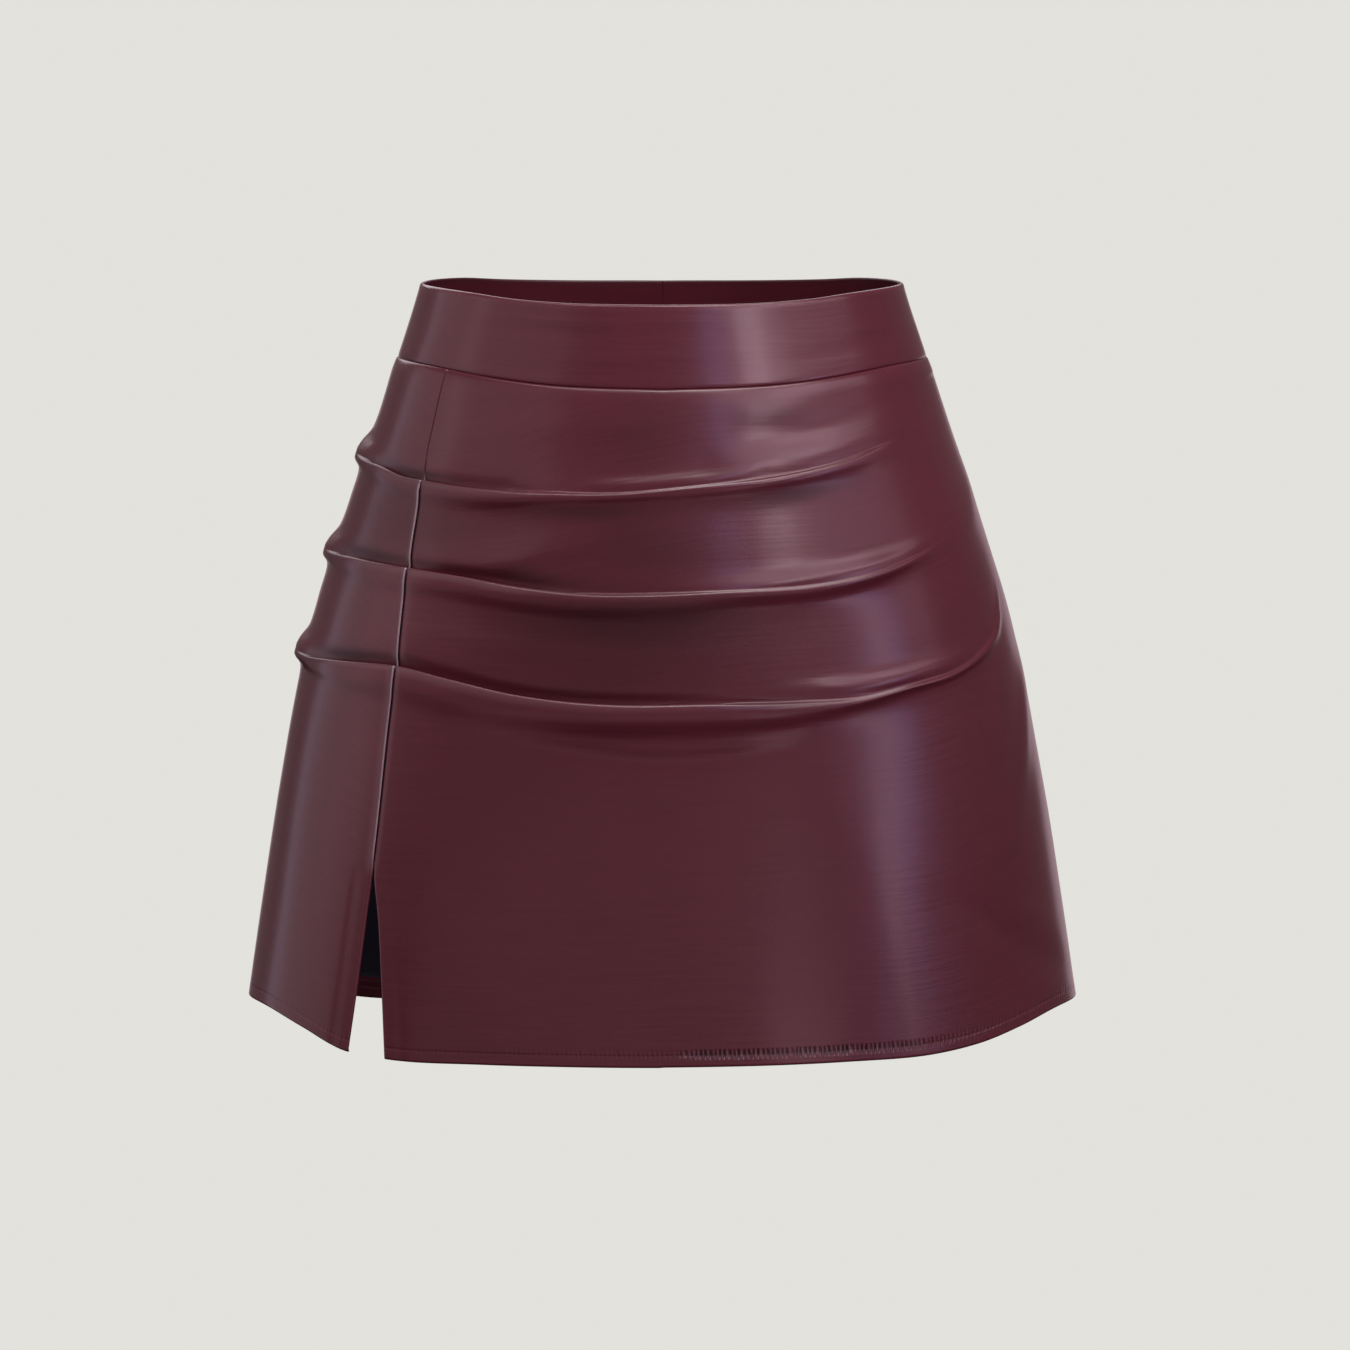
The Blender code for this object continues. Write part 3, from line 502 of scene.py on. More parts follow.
MIDDLE_PLEAT = (
    (-98, 130.5, 0, 0, 0, 6), (-90, 130.8, 0, 0.15, 1, 6), (-82, 130.5, 0.3, 0.4, 0.6, 6),
    (-76, 130.5, 0.55, 0.55, 0.15, 7), (-68, 130.9, 0.9, 0.6, 0, 8), (-60, 131.8, 1, 0.6, 0, 10),
    (-48, 133.3, 1, 0.5, 0, 10), (-36, 135.6, 1, 0.64, 0, 10), (-24, 139.4, 0.85, 1, 0, 10.2),
    (-12, 141.8, 0.5, 1, 0, 10.2), (0, 141.6, 0.15, 1.05, 0, 10), (10, 140.4, 0, 1.1, 0, 7.6),
    (26, 138.5, 0, 1.25, 0, 6.2), (38, 134, 0, 1.25, 0, 4.8), (50, 126.6, 0, 0.6, 0, 4.5),
    (62, 118, 0, 0, 0, 5), (98, 98.5, 0, 0, 0, 5),
)
LOWER_PLEAT = (
    (-98, 180.5, 0, 0, 0, 6), (-90, 181.6, 0, 0.3, 1, 6), (-82, 182.4, 0.3, 0.45, 0.65, 6),
    (-76, 182.7, 0.55, 0.55, 0.15, 7), (-68, 182.5, 0.9, 0.6, 0, 9), (-60, 182, 1, 0.6, 0, 12),
    (-46, 182, 1, 0.48, 0, 14), (-35, 186.8, 1, 0.48, 0, 15), (-23, 193, 1, 0.5, 0, 14),
    (-8, 196.6, 0.9, 1, 0, 13), (8, 196, 0.6, 1, 0, 13), (20, 196.2, 0.3, 1.05, 0, 10),
    (32, 195.2, 0, 1.15, 0, 4.4), (42, 190.2, 0, 1.1, 0, 3.2), (54, 184.5, 0, 0.85, 0, 3.4),
    (66, 172.5, 0, 0.5, 0, 4), (78, 156, 0, 0, 0, 5), (98, 138, 0, 0, 0, 6),
)
# A pleat's cross-section, row by row: how far below the fold line and how far out it lies in a tuck, in a
# step and in a ridge, how far out it rolls over the side, and how far down it moves with the pleat's reach.
PLEAT_SECTION = (
    (-17.5, 0, -19, 0, -19, 0, 0, 0), (-11, -0.1, -11, 0, -12, 0.1, 0.8, 0),
    (-5.5, -0.6, -6, -0.05, -7, 0.35, 3.5, 0), (-1, -2.1, -2.6, -0.2, -3.4, 0.6, 4.7, 0),
    (3, -2.4, -1.2, -0.5, -1.9, 0.68, 4.75, 0), (4.9, -1.9, -0.6, -0.5, -1.3, 0.7, 4.7, 0),
    (5.1, -1, -0.3, -0.25, -1, 0.74, 4.7, 0), (3, -0.5, -0.2, 0.25, -0.7, 0.83, 4.7, 0),
    (0.5, 0.2, -0.1, 0.9, -0.4, 1.02, 4.65, 0), (-0.6, 1.5, 0.05, 1.5, -0.1, 1.32, 4.6, 0),
    (-0.45, 2.2, 0.2, 2, 0.2, 1.58, 4.5, 0), (-0.05, 2.72, 0.5, 2.4, 0.5, 1.8, 4.4, 0),
    (0.6, 3, 1.1, 2.7, 1, 1.97, 4.4, 0), (0, 3.05, 0, 2.75, 0, 2, 4.1, 0.35),
    (0, 2.9, 0, 2.62, 0, 1.86, 3.3, 0.55), (0, 2.3, 0, 2.08, 0, 1.45, 1.8, 0.8),
    (0.2, 1.4, 0.2, 1.26, 0.4, 0.95, 0.8, 1), (1, 0.8, 1, 0.72, 1.8, 0.55, 0.25, 1.14),
    (2.6, 0.34, 2.6, 0.32, 4.6, 0.2, 0, 1.35), (6, 0, 6, 0, 9, 0, 0, 1.75),
)
print("a pleat has", len(PLEAT_SECTION), "rows across it")


# %% Smooth curves through the tables
def smooth_curve(xs, ys):
    """Return a function that runs smoothly through the points and levels off past both ends."""
    xs, ys = np.asarray(xs, float), np.moveaxis(np.asarray(ys, float), 0, -1)
    step = np.diff(xs)
    slope = np.diff(ys) / step
    tangent = np.empty_like(ys)
    tangent[..., 0], tangent[..., -1] = slope[..., 0], slope[..., -1]
    tangent[..., 1:-1] = (slope[..., :-1] * step[1:] + slope[..., 1:] * step[:-1]) / (step[1:] + step[:-1])

    def value(x):
        x = np.clip(np.asarray(x, float), xs[0], xs[-1])
        left = np.clip(np.searchsorted(xs, x, side="right") - 1, 0, len(xs) - 2)
        share = (x - xs[left]) / step[left]
        rest = 1 - share
        start = ys[..., left] * (1 + 2 * share) + tangent[..., left] * step[left] * share
        end = ys[..., left + 1] * (1 + 2 * rest) - tangent[..., left + 1] * step[left] * rest
        return start * rest ** 2 + end * share ** 2

    return value


def curves_of(columns, table):
    rows = np.array(table, float)
    return {name: smooth_curve(rows[:, 0], rows[:, i]) for i, name in enumerate(columns) if i > 0}


form = curves_of(FORM_COLUMNS, FORM)
levels = curves_of(LEVEL_COLUMNS, LEVELS)
seam = curves_of(SEAM_COLUMNS, SIDE_FRONT_SEAM)
pleats = [curves_of(PLEAT_COLUMNS, table) for table in (UPPER_PLEAT, MIDDLE_PLEAT, LOWER_PLEAT)]
print("at the waist the form is", round(2 * float(form["half_width"](0.0)), 1), "mm wide")


# %% Places on the skirt
def from_front(angle):
    return (np.asarray(angle, float) + 180.0) % 360.0 - 180.0


def level(name, angle):
    """Read a level line at any angle; the hem has a line of its own on each side."""
    turned = from_front(angle)
    if name != "hem":
        return levels[name](np.abs(turned))
    return np.where(turned > 0, levels["hem_left"](np.abs(turned)), levels["hem_right"](np.abs(turned)))


def depth_at(angle, below):
    return np.where(np.cos(np.radians(angle)) > 0, form["front_depth"](below), form["back_depth"](below))


def points_at(angle, below, out):
    """Turn angles, depths below the waist and distances out of the form into points in metres."""
    turn, width, depth = np.radians(angle), form["half_width"](below), depth_at(angle, below)
    normal = np.stack([np.sin(turn) / width, -np.cos(turn) / depth])
    normal = normal / np.linalg.norm(normal, axis=0)
    x = width * np.sin(turn) + out * normal[0]
    y = -depth * np.cos(turn) + out * normal[1]
    return np.stack([x, y, -below], axis=-1) * MM


def degrees_for(length, angle, below):
    """Give the angle that a short length takes up along a level line."""
    turn = np.radians(angle)
    per_radian = np.hypot(form["half_width"](below) * np.cos(turn), depth_at(angle, below) * np.sin(turn))
    return np.degrees(length / per_radian)


def beside(line, distance):
    """Return an edge that runs at a distance to the wearer's left of a line."""
    return lambda below: line(below) + degrees_for(distance, line(below), below)


def constant(value):
    return lambda below: np.full_like(np.asarray(below, float), value)


# %% [markdown]
# ## Soft folds, one by one
# Between the three pleats the cloth is drawn towards the side-front seam, and the strain leaves soft ridges
# and hollows. Each is drawn here as a line with a height and a reach: a plain way to put every crease where
# it belongs, instead of trusting a simulation to find it. The back gets quieter folds of the same kind.

# %% Creases along the body
# Each crease: its height, how far it reaches above and below its line, and the line itself as points of
# (angle, below, strength). A negative height is a hollow.
CREASES = (
    # between the band and the upper pleat
    (0.25, 7, 8, ((-50, 66, 0), (-38, 64, 0.8), (-20, 60, 1), (0, 58, 0.4), (14, 57, 0))),
    (0.35, 7, 6, ((12, 53, 0), (20, 52.5, 0.8), (28, 51, 1), (35, 50, 0.6), (42, 48, 0))),
    (-0.35, 6, 6, ((12, 65, 0), (20, 64.5, 0.8), (28, 63, 1), (35, 61, 0.6), (42, 58, 0))),
    (1.05, 2.8, 4, ((-16, 88.6, 0), (-10, 88.4, 0.7), (-4, 87.6, 1), (3, 86, 1), (8, 85.2, 1),
                    (13, 83.5, 0.8), (19, 80, 0))),
    (1.1, 8, 5, ((8, 79, 0), (14, 78, 0.6), (19, 77.2, 0.9), (27, 75.8, 1.1), (34, 73, 0.9), (44, 67, 0.4),
                 (52, 63, 0))),
    # between the upper and the middle pleat: the fold that rises from the seam, over a dark wedge
    (1.2, 9, 4.5, ((-47, 128, 0), (-40, 129, 0.8), (-33, 129.5, 1), (-25, 126, 1), (-18, 121, 0.6),
                   (-10, 116, 0))),
    (1.5, 4.4, 5, ((0, 139.5, 0), (10, 138.8, 0.5), (17, 137.2, 0.9), (25, 135, 1), (33, 132.5, 1),
                   (41, 129, 0.9), (50, 124, 0.5), (60, 117, 0))),
    # between the middle and the lower pleat
    (0.25, 5, 7, ((-44, 160, 0), (-30, 166, 1), (-12, 171, 1), (4, 172, 0.6), (18, 171, 0))),
    (1.25, 4.2, 4, ((14, 190, 0), (18, 189.5, 0.1), (24, 189, 0.3), (30, 188.8, 0.75), (37, 187, 1),
                    (46, 183, 0.9), (54, 179, 0.5), (64, 171, 0))),
    (0.7, 4, 4, ((56, 184, 0), (62, 180, 0.7), (67, 174, 1), (72, 166, 1), (76, 156, 0.6), (80, 146, 0))),
    # under the lower pleat
    (-0.4, 4, 5, ((-30, 212, 0), (-16, 219, 0.8), (0, 224, 1), (14, 221, 0.8), (28, 214, 0))),
    # towards the left side seam and the hem
    (-0.5, 9, 9, ((40, 296, 0), (49, 303, 0.6), (56, 317, 1), (64, 330, 1), (78, 342, 0.8), (92, 350, 0))),
    (0.45, 10, 10, ((52, 292, 0), (62, 306, 0.8), (74, 320, 1), (86, 330, 0))),
    (0.6, 12, 12, ((56, 128, 0), (68, 118, 1), (80, 104, 1), (92, 92, 0.4), (98, 88, 0))),
    # the back: the cloth is drawn to both side seams where the pleats end
    (0.55, 9, 9, ((99, 96, 0.3), (108, 100, 1), (120, 106, 0.8), (138, 112, 0))),
    (-0.5, 7, 8, ((99, 132, 0.3), (110, 130, 1), (126, 134, 0.8), (146, 142, 0))),
    (0.5, 9, 10, ((99, 176, 0.3), (112, 176, 1), (128, 182, 0.7), (148, 186, 0))),
    (0.6, 6, 8, ((226, 96, 0), (240, 90, 0.8), (252, 84, 1), (261, 81, 0.8))),
    (-0.6, 6, 8, ((222, 112, 0), (236, 106, 0.8), (250, 100, 1), (261, 97, 0.8))),
    (0.7, 7, 7, ((218, 146, 0), (234, 140, 0.7), (248, 134, 1), (261, 131, 1))),
    (-0.65, 6, 8, ((220, 164, 0), (236, 158, 0.8), (250, 150, 1), (261, 147, 0.8))),
    (0.75, 8, 8, ((216, 196, 0), (232, 190, 0.7), (248, 184, 1), (261, 182, 1))),
    (-0.6, 9, 10, ((214, 214, 0), (230, 210, 0.8), (248, 203, 1), (261, 200, 0.8))),
    (0.35, 10, 12, ((150, 205, 0), (168, 214, 1), (179, 217, 1), (192, 213, 0.8), (210, 206, 0))),
    (-0.35, 8, 10, ((148, 84, 0), (164, 74, 1), (179, 70, 1), (196, 76, 1), (214, 86, 0))),
)

# Slow waves: height, number round the body, and length downwards.
UNEVEN_BODY = ((0.16, 5, 61), (0.1, 11, -27))
UNEVEN_BAND = ((0.1, 7, 9),)
# Folds that hang down: height, reach to each side, and points of (below, angle, strength).
DRAPES = (
    (1.1, 9, ((176, 86, 0), (196, 82, 0.9), (215, 77, 1), (234, 72, 0.9), (256, 67, 0.5), (284, 62, 0))),
    (-0.5, 12, ((190, 92, 0), (220, 90, 1), (270, 86, 0.8), (330, 82, 0))),
    (0.45, 22, ((240, 30, 0), (290, 34, 1), (340, 37, 1), (380, 39, 1))),
    (-0.4, 20, ((230, -6, 0), (290, -10, 1), (380, -14, 1))),
    (0.6, 18, ((210, 118, 0), (280, 124, 1), (380, 130, 1))),
    (-0.6, 20, ((220, 142, 0), (300, 148, 1), (380, 152, 1))),
    (0.5, 22, ((230, 164, 0), (300, 166, 1), (380, 168, 1))),
    (0.6, 20, ((220, 204, 0), (300, 208, 1), (380, 212, 1))),
    (-0.6, 20, ((230, 226, 0), (300, 228, 1), (380, 230, 1))),
    (0.5, 16, ((210, 244, 0), (290, 246, 1), (380, 247, 1))),
)
print(len(CREASES), "creases run along the body and", len(DRAPES), "drapes down it")


# %% How far the folds stand out
def bell(distance, reach):
    return np.exp(-(distance / reach) ** 2)


def ramp(value, start, end):
    """Go evenly from 0 at start to 1 at end."""
    return np.clip((value - start) / (end - start), 0.0, 1.0)


def unevenness(angle, below, waves):
    return sum(height * np.sin(np.radians(angle * count) + below / length) for height, count, length in waves)


def creases_at(angle, below, creases):
    """Add up creases: each is felt in full on its line, and fades above and beneath it."""
    total = 0.0
    for height, above, beneath, line in creases:
        places, depths, strengths = np.array(line, float).T
        on_back = (places[0] > SIDE_SEAM) & (angle < places[0] - 1.0)
        turned = np.where(on_back, angle + 360.0, angle)
        distance = below - smooth_curve(places, depths)(turned)
        strength = np.clip(smooth_curve(places, strengths)(turned), 0.0, 1.0)
        felt = strength * bell(distance, np.where(distance < 0, above, beneath))
        total += height * np.where((turned >= places[0]) & (turned <= places[-1]), felt, 0.0)
    return total


def relief_at(angle, below):
    """Add up the unevenness, creases and drapes of the body, in millimetres out of the form."""
    total = unevenness(angle, below, UNEVEN_BODY) + creases_at(angle, below, CREASES)
    for height, reach, line in DRAPES:
        depths, places, strengths = np.array(line, float).T
        distance = (angle - smooth_curve(depths, places)(below)) / degrees_for(1.0, angle, below)
        strength = np.clip(smooth_curve(depths, strengths)(below), 0.0, 1.0)
        total += height * strength * np.where(below > depths[0], bell(distance, reach), 0.0)
    return total


print("the fold over the middle pleat stands out", round(float(relief_at(-33.0, 129.5)), 2), "mm")

# %% [markdown]
# ## Rows of cloth
# A panel is a grid. Its named rows follow the band, the pleats' cross-sections and the hem; finer rows run
# smoothly between them. A row is a function that turns angles into (below, out), in millimetres.


# %% Rows across the pleats
def pleat_row(curves, place):
    """Make one row of a pleat. The more it is folded, the more a ridge turns into a step and then a tuck."""
    tuck, tuck_out, step, step_out, ridge, ridge_out, roll_out, reach_share = place

    def row(angle):
        fold = np.clip(curves["fold"](angle), 0, 1)
        height, roll = (np.clip(curves[name](angle), 0, None) for name in ("height", "roll"))
        soft, full = np.clip(2 * fold, 0, 1), np.clip(2 * fold - 1, 0, 1)
        below = curves["below"](angle) + ridge + soft * (step - ridge) + full * (tuck - step)
        out = ridge_out + soft * (step_out - ridge_out) + full * (tuck_out - step_out)
        out = out * np.where(out < 0, np.maximum(height, 0.9 * fold), height)
        return below + curves["reach"](angle) * reach_share, out + roll * roll_out

    return row


def between(upper, lower, share):
    def row(angle):
        above, above_out = upper(angle)
        beneath, beneath_out = lower(angle)
        return above + share * (beneath - above), above_out + share * (beneath_out - above_out)

    return row


def from_level(name, distance, out):
    """Return a row at a distance below a level line, and that far out of the form."""
    return lambda angle: (level(name, angle) + distance, np.full_like(angle, out))


# %% Rows from the band to the hem
PANEL_TOP = ((0.0, BAND_OUT - 0.9), (0.25, -0.75), (0.6, -0.35), (1.2, -0.1), (2.4, 0.05), (6.0, 0.3))
HEM_ROWS = (13.5, HEM_TURN_UP + FOLD_STEP, HEM_TURN_UP, 8.6, 6.6, 4.6, 2.8, 1.7, 1.1, 0.7, 0.35, 0.1, 0.0)
SLIT_STEPS = (0.3, 0.65, 1, 1.33, 1.67)       # from the last pleat (0) to the slit's top (1) and the hem (2)
PARTED_DEPTH, CLOSED_DEPTH = 55.5, 61.5
PARTED_OUT, CLOSED_OUT = 0.4, 0.3
PLAIN_ROWS_OF_A_BACK = 12

panel_top_rows = [from_level("band_seam", distance, out) for distance, out in PANEL_TOP]
hem_rows = [from_level("hem", -distance, 0.0) for distance in HEM_ROWS]
hem_start = from_level("hem", -HEM_TURN_UP - FOLD_STEP, 0.0)


def pleated_rows():
    rows = panel_top_rows + [pleat_row(curves, place) for curves in pleats for place in PLEAT_SECTION]
    last_fold = rows[-1]
    at_slit = np.array([float(seam["side_front_edge"](SLIT_TOP))])
    fold_depth, hem_depth = float(last_fold(at_slit)[0][0]), float(hem_start(at_slit)[0][0])
    slit_share = (SLIT_TOP - fold_depth) / (hem_depth - fold_depth)
    shares = np.interp(SLIT_STEPS, (0, 1, 2), (0, slit_share, 1))
    return rows + [between(last_fold, hem_start, share) for share in shares] + hem_rows


def plain_rows():
    centre_seam = float(level("band_seam", CENTRE_BACK))
    parted = from_level("band_seam", PARTED_DEPTH - centre_seam, PARTED_OUT)
    closed = from_level("band_seam", CLOSED_DEPTH - centre_seam, CLOSED_OUT)
    shares = np.linspace(0.0, 1.0, PLAIN_ROWS_OF_A_BACK + 2)[1:-1]
    plain = [between(closed, hem_start, share) for share in shares]
    return panel_top_rows + [parted, closed] + plain + hem_rows


print("a front panel has", len(pleated_rows()), "named rows and a back panel", len(plain_rows()))


# %% Fine rows and columns
def laid_out(rows, edges, shares, row_spacing):
    """Work out the angle, below and out of every point, from the lowest row to the highest."""
    (left_edge, right_edge), named = edges, []
    for row in rows:
        angle = left_edge(0.0) + (right_edge(0.0) - left_edge(0.0)) * shares
        for _ in range(4):      # an edge depends on the depth and the depth on the angle: they settle in turn
            below = row(angle)[0]
            angle = left_edge(below) + (right_edge(below) - left_edge(below)) * shares
        named.append(np.stack([angle, *row(angle)], axis=-1))
    named = np.array(named)
    step = np.linalg.norm(np.diff(named[..., 1:], axis=0), axis=-1).mean(axis=1)
    place = np.concatenate([[0.0], np.cumsum(np.sqrt(step))])
    counts = np.maximum(1, np.round(step / row_spacing)).astype(int)
    fine = [np.linspace(a, b, n, endpoint=False) for a, b, n in zip(place, place[1:], counts)]
    fine = np.concatenate(fine + [place[-1:]])
    return smooth_curve(place, named)(fine).transpose(1, 2, 0)[:, ::-1]


def column_shares(width, spacing, left_lines, right_lines):
    """Space columns evenly, but for lines close to each edge, at given distances from it."""
    left, right = np.array(left_lines), width - np.array(right_lines)[::-1]
    count = max(2, int(round((right[0] - left[-1]) / spacing)))
    inner = np.linspace(left[-1], right[0], count + 1)[1:-1]
    return np.concatenate([left, inner, right]) / width


def along(points, axis):
    """Measure in millimetres along each row or column, from its first point."""
    steps = np.linalg.norm(np.diff(points, axis=axis), axis=-1) / MM
    start = np.zeros_like(np.take(steps, [0], axis=axis))
    return np.concatenate([start, np.cumsum(steps, axis=axis)], axis=axis)


def rolled(distance, radius):
    """Say how far a rounded edge falls back, at a distance from it."""
    inset = np.clip(radius - distance, 0.0, radius)
    return radius - np.sqrt(np.clip(radius ** 2 - inset ** 2, 0.0, None))


# %% [markdown]
# ## From grid to cloth
# Each panel starts as a flat grid whose points are laid on the body. Solidify then gives the film its knitted
# backing, with twice the wall where the hem and the slit's edges are turned under.


# %% Lay a grid
def lay_grid(name, points, finishes):
    """Add a grid and lay its points on the given ones; it faces outwards. Its map is in metres of cloth."""
    rows, columns = points.shape[:2]
    steps = {"x_subdivisions": columns - 1, "y_subdivisions": rows - 1}
    cloth = add(bpy.ops.mesh.primitive_grid_add, name, size=1.0, **steps)
    cloth.data.vertices.foreach_set("co", points.reshape(-1))
    cloth.data.update()
    places = np.stack([along(points, 1), along(points, 0)], axis=-1).reshape(-1, 2) * MM
    corners = np.empty(len(cloth.data.loops), int)
    cloth.data.loops.foreach_get("vertex_index", corners)
    cloth.data.uv_layers[0].name = "cloth"
    cloth.data.uv_layers["cloth"].data.foreach_set("uv", places[corners].reshape(-1))
    for finish in finishes:
        cloth.data.materials.append(finish.material)
    return cloth


# %% Store its measures
def record(cloth, **values):
    """Store the finish's measures on every point of the cloth; one that isn't given is 0."""
    for name in MEASURES:
        stored = np.zeros(len(cloth.data.vertices))
        stored[:] = np.ravel(values.get(name, 0.0))
        measure = cloth.data.attributes.new(name, "FLOAT", "POINT")
        measure.data.foreach_set("value", stored)


# %% Give it a wall
SHARP_EDGE = math.radians(70.0)


def select_only(item):
    bpy.ops.object.select_all(action="DESELECT")
    item.select_set(True)
    bpy.context.view_layer.objects.active = item


def apply(item, modifier):
    select_only(item)
    bpy.ops.object.modifier_apply(modifier=modifier.name)


def inward_wall(cloth, thickness):
    wall = cloth.modifiers.new("wall", "SOLIDIFY")
    wall.thickness, wall.offset = thickness * MM, -1.0
    return wall


def give_wall(cloth, doubled):
    """Thicken a sheet inwards; its inner side takes the second finish, except where the cloth is doubled."""
    group = cloth.vertex_groups.new(name="doubled")
    group.add([int(i) for i in np.flatnonzero(doubled.reshape(-1))], 1.0, "REPLACE")
    faces = len(cloth.data.polygons)
    wall = inward_wall(cloth, DOUBLE_WALL)
    wall.use_quality_normals = True
    wall.vertex_group = group.name
    wall.thickness_vertex_group = WALL / DOUBLE_WALL
    wall.material_offset = 1
    wall.material_offset_rim = 0
    apply(cloth, wall)
    turned = doubled[:-1, :-1] & doubled[1:, :-1] & doubled[:-1, 1:] & doubled[1:, 1:]
    finish_of = np.zeros(len(cloth.data.polygons), int)
    finish_of[faces:2 * faces] = np.where(turned.reshape(-1), 0, 1)
    cloth.data.polygons.foreach_set("material_index", finish_of)
    bpy.ops.object.shade_smooth_by_angle(angle=SHARP_EDGE)


# %% Make it a piece of the skirt
def declare_sheet(cloth, node):
    """Let the cloth ride on the skirt in place of its solid."""
    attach(cloth, "skirt")
    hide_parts(node)


# %% [markdown]
# ## The body panels
# The front panel wraps from the side-front seam round to the wearer's left side seam, and the narrow
# side-front panel closes the skirt on the other side. Two plain back panels meet at the zip. An edge is
# rolled: the film bends into the seam or over the hem, and that small radius draws a thin light line. Along
# the raised side-front seam that line is made paler still by a painted highlight.

# %% A panel with its edges, folds, wear and painted light
SEAM_LINES = (0.0, 0.2, 0.5, 0.9, 1.5, 2.4, 3.8, 5.6)
SLIT_LINES = SEAM_LINES + (7.6, SLIT_TURN_IN, SLIT_TURN_IN + FOLD_STEP, 12.4)
SEAM_RADIUS, EDGE_RADIUS = 0.9, 1.0
SEAM_DIP = 0.75                      # how much of its roll a closed seam shows
LIP_REACH = 2.0
TURN_DENT, TURN_REACH = 0.22, 1.6    # the faint line where the slit's turn-in ends
WEAR_REACH, EDGE_WEAR, CREST_WEAR = 1.3, 0.9, 0.2
CREST, FOLD_LINE = (1.2, 2.6), (0.2, 0.7)            # each: how far below the pleat's line, and its reach
FIRST_PLEAT = (84.0, 94.0)           # where the pleats' pull on the seam begins
FADE = 12.0                          # the length over which folds and lines fade
# Painted shade where the pleats would shade the cloth: the pleat's number, or WAIST, the distance below its
# line, the reach up and down, the strength, the angle, and the reach to each side.
WAIST = 3
PAINTED_SHADE_SPOTS = (
    (WAIST, 159, 17, 0.9, -5, 23), (WAIST, 184, 10, 0.35, -7, 20), (WAIST, 118, 14, 0.5, -2, 13),
    (WAIST, 66, 16, 0.25, -3, 9), (WAIST, 108, 21, 0.5, -50, 20), (WAIST, 54, 6.5, 0.4, 22, 9),
    (0, 10.5, 4.8, 0.85, 25, 12), (0, 9, 4.5, 0.75, -14, 14), (1, 10, 5, 0.45, -2, 14),
    (0, -2.5, 2.4, 1, -55, 8), (1, -3.5, 3.2, 1, -64, 10), (2, -4, 3.6, 1, -62, 11),
    (1, -5, 4, 0.8, -24, 8), (2, -4, 3, 0.35, -14, 12), (2, 0.5, 1.6, 0.6, 17, 9),
    (0, 0.5, 1.8, 0.7, -75, 9), (1, 0.5, 1.8, 0.7, -77, 9), (2, 0.5, 1.8, 0.7, -77, 9),
)
# How strongly the stitches pucker the hem, by angle from the front.
PUCKER_RANGE = ((-38, 0.05), (-20, 0.06), (2, 0.12), (5, 0.95), (30, 1), (36, 0.5), (44, 0.14), (98, 0.08))


def along_pleats(angle, below, shift, reach, measure):
    """Follow the pleats, at a distance below them, as strongly as one of their measures says."""
    return sum(bell(below - curves["below"](angle) - shift, reach) * np.clip(curves[measure](angle), 0, 1)
               for curves in pleats)


def pleat_shade(angle, below, seam_highlight):
    """Work out the painted highlight on the raised seam and the fold lines, and the painted shade of the
    pleats.
    """
    turned = from_front(angle)
    depths = [curves["below"](angle) for curves in pleats] + [0.0]
    # a painted highlight along each fold line
    line = along_pleats(angle, below, *FOLD_LINE, "fold") * np.interp(turned, (-78.0, -60.0), (0.2, 1.0))
    line *= 1 - 0.9 * bell(below - depths[2], 4.0) * bell(turned - 14.0, 9.0)
    # painted shade under, above and between the pleats
    painted_shade_sum = sum(strength * bell(below - depths[which] - under, reach) * bell(turned - middle, width)
                  for which, under, reach, strength, middle, width in PAINTED_SHADE_SPOTS)
    return {"rubbed": np.maximum(seam_highlight, 0.16 * line), "sheltered": np.clip(painted_shade_sum, 0.0, 0.9)}


